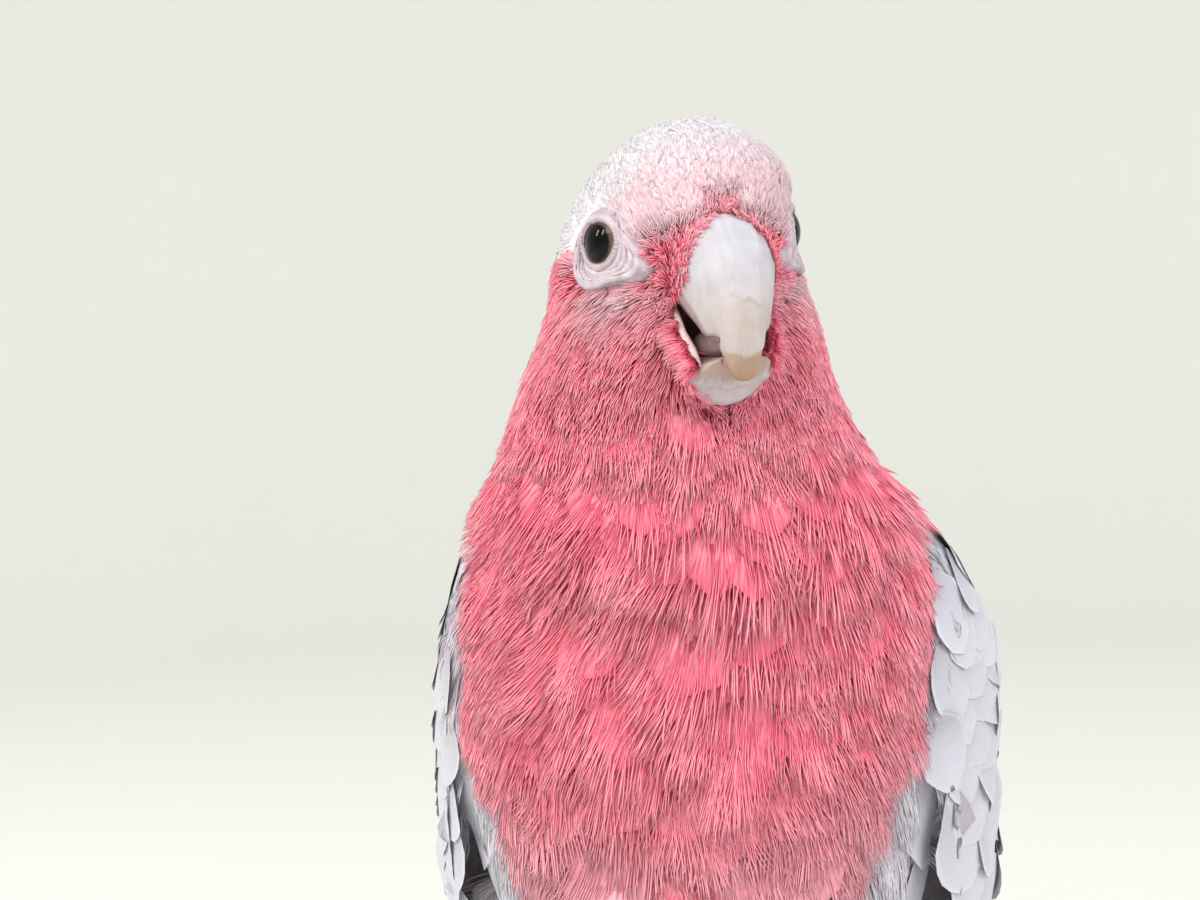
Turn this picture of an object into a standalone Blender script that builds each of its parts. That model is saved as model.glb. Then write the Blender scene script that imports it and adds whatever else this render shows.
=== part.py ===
"""A galah, Eolophus roseicapilla, as a still, life-size museum model.

The bird stands upright on the floor, faces -Y with its body turned a little to its right, and looks to
its left with its bill open. Lengths are in millimetres in the tables below and metres in the mesh.
+X is the bird's left. The flesh is one long tube, from the crown to the tail's tip: its sections are
interpolated from BODY, and head, neck, trunk and tail are lengths of that tube, parted by thin cuts.
The wings are wrapped over the same tube.
"""

import math

import bmesh
import bpy
import numpy as np
from mathutils import Matrix, Vector

MM = 0.001
GAP = 0.3  # clear space between neighbouring pieces
WELD = 0.01  # slivers thinner than this are closed
SIDES = {"left": 1, "right": -1}

# Where the standing bird's middle is, from the point under its thighs.
BOX_CENTRE = (-2.13, 48.6)

# How the body and head are turned, in degrees: positive looks to the bird's left.
BODY_TURN = -8
HEAD_TURN = 15
HEAD_ROLL = 3.5  # the crown tips to the bird's right
HEAD_CENTRE = (-2.7, -45, 220)  # the point midway between the eyes, on the skull's axis
NECK_ENDS = (196, 150)  # heights between which the head's turn fades into the body's

# Sections across the bird's length: y and z of the centre, the tilt of the section's plane in degrees,
# its half width, its reach to the front and to the back, and how far it sways to the left.
BODY = (
    (-47, 240.0, 0, 0, 0, 0, 0.0),  # crown
    (-45, 230.0, 0, 15.8, 21.0, 22.0, -1.2),  # forehead
    (-45, 220.0, 0, 19.0, 24.0, 25.5, -2.7),  # eyes
    (-45, 208.0, 0, 20.9, 20.5, 26.5, -2.9),  # cheeks
    (-43, 196.0, 2, 26.3, 19.0, 27.5, -3.0),  # chin
    (-39, 184.0, 8, 31.2, 23.5, 29.0, -2.6),  # neck
    (-32, 171.0, 16, 37.4, 32.0, 31.5, -2.4),  # shoulders
    (-21, 151.0, 26, 42.5, 45.0, 34.0, -3.8),  # breast
    (-8, 127.0, 32, 43.5, 51.0, 34.0, -3.8),  # keel
    (8, 103.0, 40, 38.5, 48.0, 30.0, -3.0),  # belly
    (27, 82.0, 50, 30.5, 36.0, 23.0, -2.4),  # vent
    (47, 67.5, 58, 22.0, 21.0, 15.0, -1.5),  # rump
    (69, 54.0, 63, 18.5, 9.0, 9.0, -0.6),  # root of the tail
    (97, 39.5, 64, 20.5, 4.5, 6.0, 0.0),
    (136, 18.8, 64, 24.0, 2.6, 3.8, 0.0),
    (173, -0.4, 64, 25.5, 1.8, 2.4, 0.0),  # tip of the tail
)
BODY_SIDES = 26
HEAD_END = 50.0  # lengths along the tube where it is parted
NECK_END = 66.0
TRUNK_END = 231.0

# The wing, by length along the tube: its front and back edges as angles from the breast's midline, and
# how far its face stands off the body at the side (left wing, then right wing, which is held closer at
# the shoulder), at the back and at its front edge.
WING = (
    (68.0, 96, 128, 1.8, 1.8, 1.8, 1.4),
    (76.0, 82, 156, 7.0, 5.4, 3.2, 1.6),
    (95.0, 70, 168, 11.5, 5.8, 4.5, 2.2),
    (125.0, 68, 171, 12.0, 8.2, 5.0, 5.0),
    (158.0, 72, 172, 18.5, 21.5, 6.0, 11.5),
    (190.0, 80, 172, 22.0, 24.0, 7.0, 13.0),
    (222.0, 92, 173, 17.0, 16.5, 7.0, 8.0),
    (255.0, 104, 174, 7.5, 7.5, 5.5, 3.5),
    (290.0, 122, 173, 3.6, 3.6, 4.0, 2.4),
    (316.0, 146, 170, 2.6, 2.6, 3.0, 2.0),
)
WING_THICKNESS = 8.0
WING_EDGE = 1.0
WING_CLEAR = 1.3  # least space between a wing and the body's rounder facets

EYE_PLACE = (16.1, 9.3, 0.0)  # left, forward and up from the head's centre
EYE_RADIUS = 5.3
EYE_PROUD = 1.5  # how far the ball stands out of the face
SOCKET_RADIUS = EYE_RADIUS + GAP

# The bill's two halves. A row holds forward and up of the section's centre, the section's pitch in
# degrees (0 faces forward, 90 faces down), its half width, and its reach to the outer and inner side.
UPPER_BILL = (
    (13.0, -5.2, 5, 7.3, 7.8, 7.0),
    (18.0, -5.6, 16, 8.2, 9.2, 7.6),
    (22.0, -7.6, 36, 7.8, 9.1, 7.2),
    (24.9, -11.2, 58, 6.1, 6.7, 5.2),
    (26.4, -15.4, 76, 4.1, 4.6, 2.9),
    (26.9, -19.4, 88, 3.0, 3.1, 2.1),
    (26.8, -21.6, 98, 2.1, 2.0, 1.6),
    (26.5, -22.8, 104, 1.1, 0.9, 0.8),
)
LOWER_BILL = (
    (8.0, -18.6, -8, 5.8, 5.6, 2.0),
    (13.0, -19.5, 0, 6.4, 6.2, 2.0),
    (18.0, -20.4, 14, 6.6, 6.2, 1.9),
    (22.2, -21.2, 34, 6.3, 5.8, 2.7),
    (24.8, -21.0, 52, 5.2, 4.0, 3.2),
)
BILL_SIDES = 16
SCOOP = ((14.7, -15.6, 0), (10.6, 4.9, 4.8))  # the lower bill's trough: centre and half sizes
MOUTH = ((17.0, -12.6, 0), (11.0, 8.2, 6.0))
TONGUE = ((16.4, -16.9, 0), (6.8, 3.6, 2.9))

LEG_X = 19.0
KNEE = (-2.0, 80.0)  # y and z of the top of the feathered thigh, inside the belly's outline
ANKLE = (-2.0, 28.0)
FOOT = (-9.0, 6.0)
SHANK_RADIUS = 3.3
# A toe's heading in degrees, 0 straight ahead and positive outwards, its length and its thickness.
TOES = {
    "inner_front": (-14, 19.0, 3.0),
    "outer_front": (12, 26.0, 3.2),
    "outer_back": (150, 22.0, 3.0),
    "inner_back": (196, 13.0, 2.8),
}
TOE_REST = 0.74  # height of a toe's axis over the floor, in its radii: below 1 its pads are flattened
CLAW_LENGTH = 10.5
CLAW_RADIUS = 1.7

COLOURS = {
    "plumage_rose": ((0.80, 0.27, 0.33), 0.85),
    "plumage_grey": ((0.62, 0.62, 0.68), 0.75),
    "horn_bill": ((0.80, 0.76, 0.69), 0.40),
    "eye_dark": ((0.02, 0.012, 0.01), 0.08),
    "mouth_flesh": ((0.36, 0.17, 0.17), 0.45),
    "scaly_skin": ((0.30, 0.27, 0.27), 0.70),
    "horn_claw": ((0.10, 0.09, 0.09), 0.45),
}

SPINE = np.array([row[:2] for row in BODY], float)
LENGTHS = np.concatenate([[0.0], np.cumsum(np.linalg.norm(np.diff(SPINE, axis=0), axis=1))])


def clear_scene():
    for obj in list(bpy.data.objects):
        bpy.data.objects.remove(obj, do_unlink=True)


def collection(name):
    made = bpy.data.collections.new(name)
    bpy.context.scene.collection.children.link(made)
    return made


def material(name):
    colour, roughness = COLOURS[name]
    made = bpy.data.materials.get(name) or bpy.data.materials.new(name)
    made.use_nodes = True
    surface = made.node_tree.nodes["Principled BSDF"]
    surface.inputs["Base Color"].default_value = (*colour, 1)
    surface.inputs["Roughness"].default_value = roughness
    surface.inputs["Metallic"].default_value = 0
    return made


def smooth_step(x):
    x = np.clip(x, 0, 1)
    return x * x * (3 - 2 * x)


def interpolate(at, places, values):
    """A smooth curve through values at places, flat enough at each to keep rows from overshooting."""
    places, values = np.asarray(places, float), np.asarray(values, float)
    slopes = np.gradient(values, places, edge_order=1)
    i = np.clip(np.searchsorted(places, at) - 1, 0, len(places) - 2)
    span = places[i + 1] - places[i]
    t = np.clip((at - places[i]) / span, 0, 1)
    rise, fall = t * t * (3 - 2 * t), t * (1 - t)
    straight = values[i] * (1 - rise) + values[i + 1] * rise
    return straight + span * fall * (slopes[i] * (1 - t) - slopes[i + 1] * t)


def body_section(s):
    """Centre x, y and z, tilt in radians, half width, front reach and back reach at length s."""
    y, z, tilt, sway = (interpolate(s, LENGTHS, [row[k] for row in BODY]) for k in (0, 1, 2, 6))
    reaches = []
    for k in (3, 4, 5):  # squares, so that the crown closes as a dome
        squares = interpolate(s, LENGTHS, [row[k] ** 2 for row in BODY])
        reaches.append(math.sqrt(max(squares, 0)))
    return sway, y, z, math.radians(tilt), *reaches


def head_share(z):
    """1 where a height belongs to the head, 0 where it belongs to the trunk."""
    return float(smooth_step((z - NECK_ENDS[1]) / (NECK_ENDS[0] - NECK_ENDS[1])))


def standing(point):
    """A point of the straight bird, moved to where the standing, turned bird has it, in metres."""
    turned = Matrix.Rotation(math.radians(BODY_TURN), 3, "Z") @ Vector(point)
    return (turned - Vector((*BOX_CENTRE, 0))) * MM


def body_point(s, angle, lift=0.0, scale=1.0):
    """The body's surface at length s and an angle in radians from the front towards the left."""
    x, y, z, tilt, half_width, front, back = body_section(s)
    across = (half_width + lift) * math.sin(angle) * scale
    reach = front if math.cos(angle) > 0 else back
    behind = -(reach + lift) * math.cos(angle) * scale
    local = Vector((across, behind * math.cos(tilt), behind * math.sin(tilt)))
    turn = Matrix.Rotation(math.radians((HEAD_TURN - BODY_TURN) * head_share(z)), 3, "Z")
    return Vector((x, y, z)) + turn @ local


def head_frame():
    """The matrix that carries (left, forward, up) from the head's centre, in millimetres, to metres."""
    centre = standing(HEAD_CENTRE)
    turn = Matrix.Rotation(math.radians(HEAD_TURN), 4, "Z")
    roll = Matrix.Rotation(math.radians(-HEAD_ROLL), 4, "Y")
    flip = Matrix(((1, 0, 0, 0), (0, -1, 0, 0), (0, 0, 1, 0), (0, 0, 0, 1)))
    return Matrix.Translation(centre) @ turn @ roll @ flip @ Matrix.Scale(MM, 4)


def finish(name, bm, material_name, where):
    """Makes one object from a bmesh whose vertices are in metres."""
    bmesh.ops.recalc_face_normals(bm, faces=bm.faces)
    if bm.calc_volume(signed=True) < 0:
        bmesh.ops.reverse_faces(bm, faces=bm.faces)
    mesh = bpy.data.meshes.new(name)
    bm.to_mesh(mesh)
    bm.free()
    mesh.materials.append(material(material_name))
    mesh.shade_smooth()
    obj = bpy.data.objects.new(name, mesh)
    where.objects.link(obj)
    return obj


def unit_ball(segments, rings):
    bm = bmesh.new()
    bmesh.ops.create_uvsphere(bm, u_segments=segments, v_segments=rings, radius=1)
    return bm


def unit_tube(segments, rings):
    """A closed cylinder of radius 1 from z 0 to 1, cut into rings along its length."""
    bm = bmesh.new()
    bmesh.ops.create_cone(bm, cap_ends=True, segments=segments, radius1=1, radius2=1, depth=1)
    bmesh.ops.translate(bm, verts=bm.verts, vec=(0, 0, 0.5))
    sides = [e for e in bm.edges if abs(e.verts[0].co.z - e.verts[1].co.z) > 0.5]
    bmesh.ops.subdivide_edges(bm, edges=sides, cuts=rings - 1, use_grid_fill=False)
    return bm


def face_bumps(point):
    """How far the face stands out, in millimetres, at a place given from the head's centre."""
    left, forward, up = point
    side = abs(left)
    cheek = 2.6 * math.exp(-(((side - 15) / 7) ** 2 + ((forward - 13) / 9) ** 2 + ((up + 17) / 8) ** 2))
    brow = 0.9 * math.exp(-(((side - 13) / 5) ** 2 + ((forward - 14) / 6) ** 2 + ((up - 9) / 5) ** 2))
    socket = -1.0 * math.exp(-(((side - 17) / 5) ** 2 + ((forward - 10) / 6) ** 2 + (up / 6) ** 2))
    throat = -3.0 * math.exp(-((left / 6) ** 2 + ((forward - 19) / 8) ** 2 + ((up + 27) / 6) ** 2))
    crest = 2.2 * math.exp(-((left / 9) ** 2 + ((forward + 15) / 8) ** 2 + ((up - 13) / 6) ** 2))
    return cheek + brow + socket + throat + crest


def build_head(where):
    """The crown's dome down to a flat cut under the chin: a ball stretched along the tube."""
    bm = unit_ball(BODY_SIDES, 16)
    dome = 14 / 16  # share of the ball's rings on the head's outside, the others being its flat underside
    to_head = head_frame().inverted()
    for vertex in bm.verts:
        polar = math.acos(max(-1, min(1, vertex.co.z))) / math.pi
        angle = math.atan2(vertex.co.x, -vertex.co.y)
        s = HEAD_END * min(1, polar / dome) ** 1.35
        scale = min(1, (1 - polar) / (1 - dome))
        place = standing(body_point(s, angle, scale=scale))
        if scale == 1:
            local = to_head @ place
            outward = (place - standing(body_point(s, angle, scale=0.5))).normalized()
            place += outward * face_bumps(local) * MM
        vertex.co = place
    return finish("head", bm, "plumage_rose", where)


def build_length(name, start, end, rings, material_name, where):
    """A length of the body's tube with flat ends."""
    bm = unit_tube(BODY_SIDES, rings)
    for vertex in bm.verts:
        s = start + (end - start) * vertex.co.z
        place = standing(body_point(s, math.atan2(vertex.co.x, -vertex.co.y)))
        vertex.co = place
    return finish(name, bm, material_name, where)


def build_tail(where):
    """The closed fan of tail feathers, which rests its tip on the floor."""
    bm = unit_ball(20, 20)
    start, end = TRUNK_END + GAP, LENGTHS[-1]
    flat_end = 0.10
    for vertex in bm.verts:
        polar = 1 - math.acos(max(-1, min(1, vertex.co.z))) / math.pi
        angle = math.atan2(vertex.co.x, -vertex.co.y)
        share = min(1, max(0, (polar - flat_end) / (1 - flat_end)))
        s = start + (end - start) * share
        tip = math.sqrt(max(0, 1 - max(0, (share - 0.86) / 0.14) ** 2.4))
        scale = min(1, polar / flat_end) * tip
        place = standing(body_point(s, angle, scale=max(scale, 0)))
        place.z = max(place.z, 0)
        vertex.co = place
    return finish("tail", bm, "plumage_grey", where)


def wing_row(s, side):
    """Front and back edge in degrees, and the lifts at the side, the back and the front edge."""
    columns = (1, 2, 3 if side > 0 else 4, 5, 6)
    return [float(interpolate(s, [row[0] for row in WING], [row[k] for row in WING])) for k in columns]


def wing_point(side, s, across, outer):
    """A point of a wing: across runs from -1, its front edge, to 1; outer from 0, inside, to 1."""
    front, back, side_lift, back_lift, edge_lift = wing_row(s, side)
    angle = math.radians((front + back) / 2 + across * (back - front) / 2)
    full = back_lift + (side_lift - back_lift) * math.sin(angle) ** 2
    edge = edge_lift if across < 0 else min(edge_lift, WING_EDGE + 1.5)
    face = edge + (full - edge) * (1 - abs(across) ** 3)
    inner = max(WING_CLEAR, face - WING_THICKNESS)
    face = max(face, inner + WING_EDGE)
    return body_point(s, side * angle, lift=inner + (face - inner) * outer)


def build_wing(side, where):
    """A folded wing: a ball flattened to a lens and wrapped over the body, flank and tail root."""
    bm = unit_ball(36, 10)
    sign = SIDES[side]
    start, end = WING[0][0], WING[-1][0]
    for vertex in bm.verts:
        # The ball's own axis becomes the wing's thickness.
        length, width, thick = vertex.co.x, vertex.co.y, vertex.co.z
        reach = math.hypot(length, width)
        spread = (2 / math.pi) * math.asin(min(1, reach)) if reach else 0
        along, across = (length * spread / reach, width * spread / reach) if reach else (0, 0)
        room = math.sqrt(max(1e-9, 1 - along * along))
        s = (start + end) / 2 + along * (end - start) / 2
        outer = 1.0 if thick >= -1e-6 else 0.0
        vertex.co = standing(wing_point(sign, s, max(-1, min(1, across / room)), outer))
    return finish(f"wing_{side}", bm, "plumage_grey", where)


def bill_loft(rows, steps, pinch):
    """A horn-shaped loft in the head's frame. pinch below 1 draws the inner side's width in."""
    bm = unit_tube(BILL_SIDES, steps)
    places = np.arange(len(rows), dtype=float)
    to_world = head_frame()
    for vertex in bm.verts:
        at = vertex.co.z * (len(rows) - 1)
        forward, up, pitch, half_width, outer, inner = (
            float(interpolate(at, places, [row[k] for row in rows])) for k in range(6)
        )
        angle = math.atan2(vertex.co.x, vertex.co.y)
        rise = math.cos(angle)
        width = half_width * (1 if rise > 0 else 1 - (1 - pinch) * rise * rise)
        across = width * math.copysign(abs(math.sin(angle)) ** 0.85, math.sin(angle))
        height = (outer if rise > 0 else inner) * rise
        tip = math.radians(pitch)
        vertex.co = to_world @ Vector(
            (across, forward + height * math.sin(tip), up + height * math.cos(tip))
        )
    return bm


def ball_at(name, centre, half_sizes, material_name, where, segments=14, rings=8):
    """An ellipsoid in the head's frame: centre is forward, up and left; half sizes run the same way."""
    bm = unit_ball(segments, rings)
    forward, up, left = centre
    long, wide, high = half_sizes
    placed = Matrix.Translation((left, forward, up)) @ Matrix.Diagonal((wide, long, high, 1))
    bmesh.ops.transform(bm, matrix=head_frame() @ placed, verts=bm.verts)
    return finish(name, bm, material_name, where)


def clearance(obj, cutters, grow=GAP):
    """A copy of a piece grown by a clear space, to cut its neighbour with."""
    graph = bpy.context.evaluated_depsgraph_get()
    mesh = bpy.data.meshes.new_from_object(obj.evaluated_get(graph))
    copy = bpy.data.objects.new(obj.name + "_clearance", mesh)
    cutters.objects.link(copy)
    swell = copy.modifiers.new("swell", "DISPLACE")
    swell.strength = grow * MM
    swell.mid_level = 0
    hide(copy)
    return copy


def hide(obj):
    obj.hide_render = True
    obj.display_type = "WIRE"


def cut(obj, cutter):
    boolean = obj.modifiers.new(cutter.name, "BOOLEAN")
    boolean.operation = "DIFFERENCE"
    boolean.object = cutter
    boolean.solver = "EXACT"


def apply_all(obj):
    """Turns an object's modifiers into its mesh, so that later cuts start from it.

    A cut can leave slivers thinner than WELD. They are welded shut, and pairs of faces that end up
    back to back are dropped.
    """
    bpy.context.view_layer.update()
    graph = bpy.context.evaluated_depsgraph_get()
    mesh = bpy.data.meshes.new_from_object(obj.evaluated_get(graph))
    bm = bmesh.new()
    bm.from_mesh(mesh)
    bmesh.ops.triangulate(bm, faces=bm.faces)
    bmesh.ops.remove_doubles(bm, verts=bm.verts, dist=WELD * MM)
    corners = {}
    for face in bm.faces:
        corners.setdefault(frozenset(face.verts), []).append(face)
    doubled = [face for faces in corners.values() if len(faces) > 1 for face in faces]
    bmesh.ops.delete(bm, geom=doubled, context="FACES")
    bm.to_mesh(mesh)
    bm.free()
    obj.modifiers.clear()
    obj.data = mesh


def build_bill(where, cutters):
    upper = finish("bill_upper", bill_loft(UPPER_BILL, 12, 0.72), "horn_bill", where)
    lower_bm = bill_loft([(f, u, p, w, i, o) for f, u, p, w, o, i in LOWER_BILL], 8, 0.8)
    lower = finish("bill_lower", lower_bm, "horn_bill", where)
    scoop = ball_at("scoop", *SCOOP, "mouth_flesh", cutters)
    hide(scoop)
    cut(lower, scoop)
    apply_all(lower)
    cut(lower, clearance(upper, cutters))
    tongue = ball_at("tongue", *TONGUE, "mouth_flesh", where)
    apply_all(lower)
    cut(tongue, clearance(lower, cutters))
    apply_all(tongue)
    return upper, lower, tongue


def build_eyes(where, cutters):
    """Each ball stands a little out of its socket. Its outward axis leans forward."""
    sockets = []
    for side, sign in SIDES.items():
        left, forward, up = EYE_PLACE
        centre = (forward, up, sign * (left - EYE_RADIUS + EYE_PROUD))
        ball_at(f"eye_{side}", centre, (EYE_RADIUS,) * 3, "eye_dark", where, 14, 10)
        socket = ball_at(f"socket_{side}", centre, (SOCKET_RADIUS,) * 3, "eye_dark", cutters, 14, 10)
        hide(socket)
        sockets.append(socket)
    return sockets


def capsule(bm, start, end, radius_start, radius_end):
    """A tapered rod with round ends between two points, in millimetres."""
    start, end = Vector(start), Vector(end)
    along = end - start
    turn = along.to_track_quat("Z", "Y").to_matrix().to_4x4()
    bmesh.ops.create_cone(
        bm,
        segments=16,
        radius1=radius_start,
        radius2=radius_end,
        depth=along.length,
        cap_ends=True,
        matrix=Matrix.Translation((start + end) / 2) @ turn,
    )
    for point, radius in ((start, radius_start), (end, radius_end)):
        bmesh.ops.create_icosphere(bm, subdivisions=2, radius=radius, matrix=Matrix.Translation(point))


def toe_points(side, name):
    """The joints of a toe, from the ball of the foot to the claw's root, and their radii."""
    sign = SIDES[side]
    heading, length, thickness = TOES[name]
    turn = math.radians(heading)
    direction = Vector((sign * math.sin(turn), -math.cos(turn), 0))
    root = Vector((sign * LEG_X, FOOT[0], 0))
    points, radii = [], []
    for share, lift, swell in ((0.1, 1.2, 1.15), (0.4, 0, 1.0), (0.7, 0, 0.92), (1.0, 0.2, 0.8)):
        radius = thickness * swell
        points.append(root + direction * length * share + Vector((0, 0, radius * TOE_REST + lift)))
        radii.append(radius)
    return points, radii, direction


def build_foot(side, where, cutters):
    """Bare shank and four toes, two ahead and two behind, fused and then cut flat by the floor."""
    bm = bmesh.new()
    sign = SIDES[side]
    ankle = (sign * LEG_X, *ANKLE)
    ball = (sign * LEG_X, *FOOT)
    capsule(bm, ankle, ball, SHANK_RADIUS, SHANK_RADIUS * 1.15)
    for name in TOES:
        points, radii, _ = toe_points(side, name)
        points, radii = [Vector(ball), *points], [SHANK_RADIUS, *radii]
        for k in range(len(points) - 1):
            capsule(bm, points[k], points[k + 1], radii[k], radii[k + 1])
    for vertex in bm.verts:
        vertex.co = standing(vertex.co)
    foot = finish(f"foot_{side}", bm, "scaly_skin", where)
    fuse = foot.modifiers.new("fuse", "REMESH")
    fuse.mode = "VOXEL"
    fuse.voxel_size = 0.9 * MM
    soften = foot.modifiers.new("soften", "SMOOTH")
    soften.iterations = 4
    thin = foot.modifiers.new("thin", "DECIMATE")
    thin.ratio = 0.075
    apply_all(foot)
    floor_bm = bmesh.new()
    bmesh.ops.create_cube(floor_bm, size=0.2, matrix=Matrix.Translation((0, 0, -0.1)))
    floor = finish(f"floor_{side}", floor_bm, "scaly_skin", cutters)
    hide(floor)
    cut(foot, floor)
    apply_all(foot)
    return foot


def build_claw(side, name, where):
    """A curved horn from just ahead of the toe's round end down to the floor."""
    points, radii, direction = toe_points(side, name)
    bm = unit_tube(8, 5)
    root = points[-1] + direction * (radii[-1] * 0.96 + GAP)
    sweep = math.radians(62)
    arc = CLAW_LENGTH / sweep
    drop = root.z - 0.4
    for vertex in bm.verts:
        share = vertex.co.z
        turn = sweep * share
        radius = CLAW_RADIUS * (1 - share) ** 0.7 + 0.28
        ahead = arc * math.sin(turn)
        down = min(drop, arc * (1 - math.cos(turn)) - 0.6 * math.sin(turn * 1.5))
        ring = Vector((-direction.y, direction.x, 0)) * vertex.co.x
        up = Vector((direction.x * math.sin(turn), direction.y * math.sin(turn), math.cos(turn)))
        place = root + direction * ahead + Vector((0, 0, -down)) + (ring + up * vertex.co.y) * radius
        place.z = max(place.z, 0)
        vertex.co = standing(place)
    return finish(f"claw_{side}_{name}", bm, "horn_claw", where)


def build_thigh(side, trunk, foot, where, cutters):
    """The feathered upper leg, an egg that narrows to the shank."""
    bm = unit_ball(16, 12)
    sign = SIDES[side]
    top, bottom = Vector((sign * LEG_X, *KNEE)), Vector((sign * LEG_X, *ANKLE))
    for vertex in bm.verts:
        share = (1 - vertex.co.z) / 2
        round_off = math.hypot(vertex.co.x, vertex.co.y)
        radius = 16.0 * (1 - share) ** 0.8 + 7.0
        centre = top.lerp(bottom + Vector((0, 0, -3)), share)
        heading = math.atan2(vertex.co.y, vertex.co.x)
        offset = Vector((math.cos(heading), 1.15 * math.sin(heading), 0)) * radius * round_off**0.8
        vertex.co = standing(centre + offset)
    thigh = finish(f"thigh_{side}", bm, "plumage_rose", where)
    cut(thigh, clearance(trunk, cutters))
    cut(thigh, clearance(foot, cutters))
    apply_all(thigh)
    return thigh


def build():
    clear_scene()
    galah = collection("galah")
    cutters = collection("cutters")

    head = build_head(galah)
    build_length("neck", HEAD_END + GAP, NECK_END, 6, "plumage_rose", galah)
    trunk = build_length("trunk", NECK_END + GAP, TRUNK_END, 18, "plumage_rose", galah)
    build_tail(galah)
    for side in SIDES:
        build_wing(side, galah)

    upper, lower, tongue = build_bill(galah, cutters)
    mouth = ball_at("mouth", *MOUTH, "mouth_flesh", cutters)
    hide(mouth)
    sockets = build_eyes(galah, cutters)
    for cutter in (*sockets, mouth):
        cut(head, cutter)
        apply_all(head)
    for piece in (upper, lower, tongue):
        cut(head, clearance(piece, cutters))
        apply_all(head)

    for side in SIDES:
        foot = build_foot(side, galah, cutters)
        for name in TOES:
            build_claw(side, name, galah)
        build_thigh(side, trunk, foot, galah, cutters)


build()
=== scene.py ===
# %% [markdown]
# # A galah, feather by feather
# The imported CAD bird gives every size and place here: it is the outline out to the feather tips. This
# script puts a skin inside that outline and then lays feathers over it, from the short ones on the crown
# to the long ones of wing and tail. Everything is in metres, +Z is up, the bird faces -Y and its left
# is +X.

# %% Load the frame
import math

import bpy
import numpy as np
from mathutils import Matrix, Vector, kdtree
from mathutils.bvhtree import BVHTree


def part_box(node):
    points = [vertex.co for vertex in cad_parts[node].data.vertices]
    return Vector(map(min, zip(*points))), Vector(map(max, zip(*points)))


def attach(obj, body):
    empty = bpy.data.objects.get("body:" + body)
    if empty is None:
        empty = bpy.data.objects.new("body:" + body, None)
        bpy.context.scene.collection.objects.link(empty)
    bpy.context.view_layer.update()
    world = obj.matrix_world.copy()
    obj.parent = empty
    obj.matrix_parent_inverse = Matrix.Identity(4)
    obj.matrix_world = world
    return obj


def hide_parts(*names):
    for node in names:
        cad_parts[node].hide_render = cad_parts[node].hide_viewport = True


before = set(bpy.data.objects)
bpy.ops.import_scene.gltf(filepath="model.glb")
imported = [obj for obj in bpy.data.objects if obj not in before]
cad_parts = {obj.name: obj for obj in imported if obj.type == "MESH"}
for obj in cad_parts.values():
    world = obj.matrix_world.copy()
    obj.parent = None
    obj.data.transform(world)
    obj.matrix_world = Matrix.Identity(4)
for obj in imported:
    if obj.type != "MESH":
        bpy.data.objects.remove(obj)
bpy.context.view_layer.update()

MM = 0.001
scene = bpy.context.scene

# %% [markdown]
# ## Camera
# The bird is seen at arm's length through a normal lens, from just under its eye level. The camera leans
# a little, so its axes are built by hand: right and up are turned together about the line of sight.

# %% Camera
CAMERA_PLACE = Vector((-0.02007, -0.3636, 0.1945))
LOOK_DOWN = math.radians(1.6)
LEAN = math.radians(1.7)

ahead = Vector((0, math.cos(LOOK_DOWN), -math.sin(LOOK_DOWN)))
level_right = Vector((1, 0, 0))
level_up = level_right.cross(ahead)
right = level_right * math.cos(LEAN) - level_up * math.sin(LEAN)
up = level_right * math.sin(LEAN) + level_up * math.cos(LEAN)
camera_data = bpy.data.cameras.new("camera")
camera_data.lens = 50
camera_data.sensor_width = 36
camera_data.clip_start = 0.01
camera = bpy.data.objects.new("camera", camera_data)
scene.collection.objects.link(camera)
turn = Matrix((right, up, -ahead)).transposed().to_4x4()
camera.matrix_world = Matrix.Translation(CAMERA_PLACE) @ turn
scene.camera = camera
print("camera at", tuple(round(v, 4) for v in camera.location))

# %% [markdown]
# ## Small helpers
# Colours are written as the sRGB hex values a painter would pick, and turned to linear light once. One
# function adds a shader node with its settings and its links, so that a material reads as a list. What
# the shader itself needs, such as roughness, is set on its own sockets at the end.


# %% Colour and node helpers
def linear(hex_colour, alpha=1.0):
    """An sRGB hex value as linear RGBA."""
    parts = [int(hex_colour[i : i + 2], 16) / 255 for i in (1, 3, 5)]
    return (*[c / 12.92 if c <= 0.04045 else ((c + 0.055) / 1.055) ** 2.4 for c in parts], alpha)


def join(tree, source, socket):
    """Links a node, or a (node, output) pair, to a socket. A lone Mix node gives its colour."""
    if isinstance(source, bpy.types.Node):
        source = (source, 2 if source.bl_idname == "ShaderNodeMix" else 0)
    tree.links.new(source[0].outputs[source[1]], socket)


def node(tree, kind, settings=None, stops=(), **sockets):
    """Adds a node.

    settings are its properties and stops a ramp's (place, hex) pairs. A socket gets a value or a link,
    and in6 means the socket with that number.
    """
    made = tree.nodes.new("ShaderNode" + kind)
    for name, value in (settings or {}).items():
        setattr(made, name, value)
    for name, value in sockets.items():
        key = int(name[2:]) if name.startswith("in") and name[2:].isdigit() else name.replace("_", " ")
        if isinstance(value[0] if isinstance(value, tuple) else value, bpy.types.Node):
            join(tree, value, made.inputs[key])
        else:
            made.inputs[key].default_value = value
    if stops:
        elements = made.color_ramp.elements
        while len(elements) < len(stops):
            elements.new(0.5)
        for element, (place, colour) in zip(elements, stops):
            element.position, element.color = place, linear(colour)
    return made


COLOURS = {"data_type": "RGBA"}
MULTIPLIED = {"data_type": "RGBA", "blend_type": "MULTIPLY"}


def new_material(name):
    made = bpy.data.materials.new(name)
    made.use_nodes = True
    tree = made.node_tree
    return made, tree, tree.nodes["Principled BSDF"]


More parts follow.
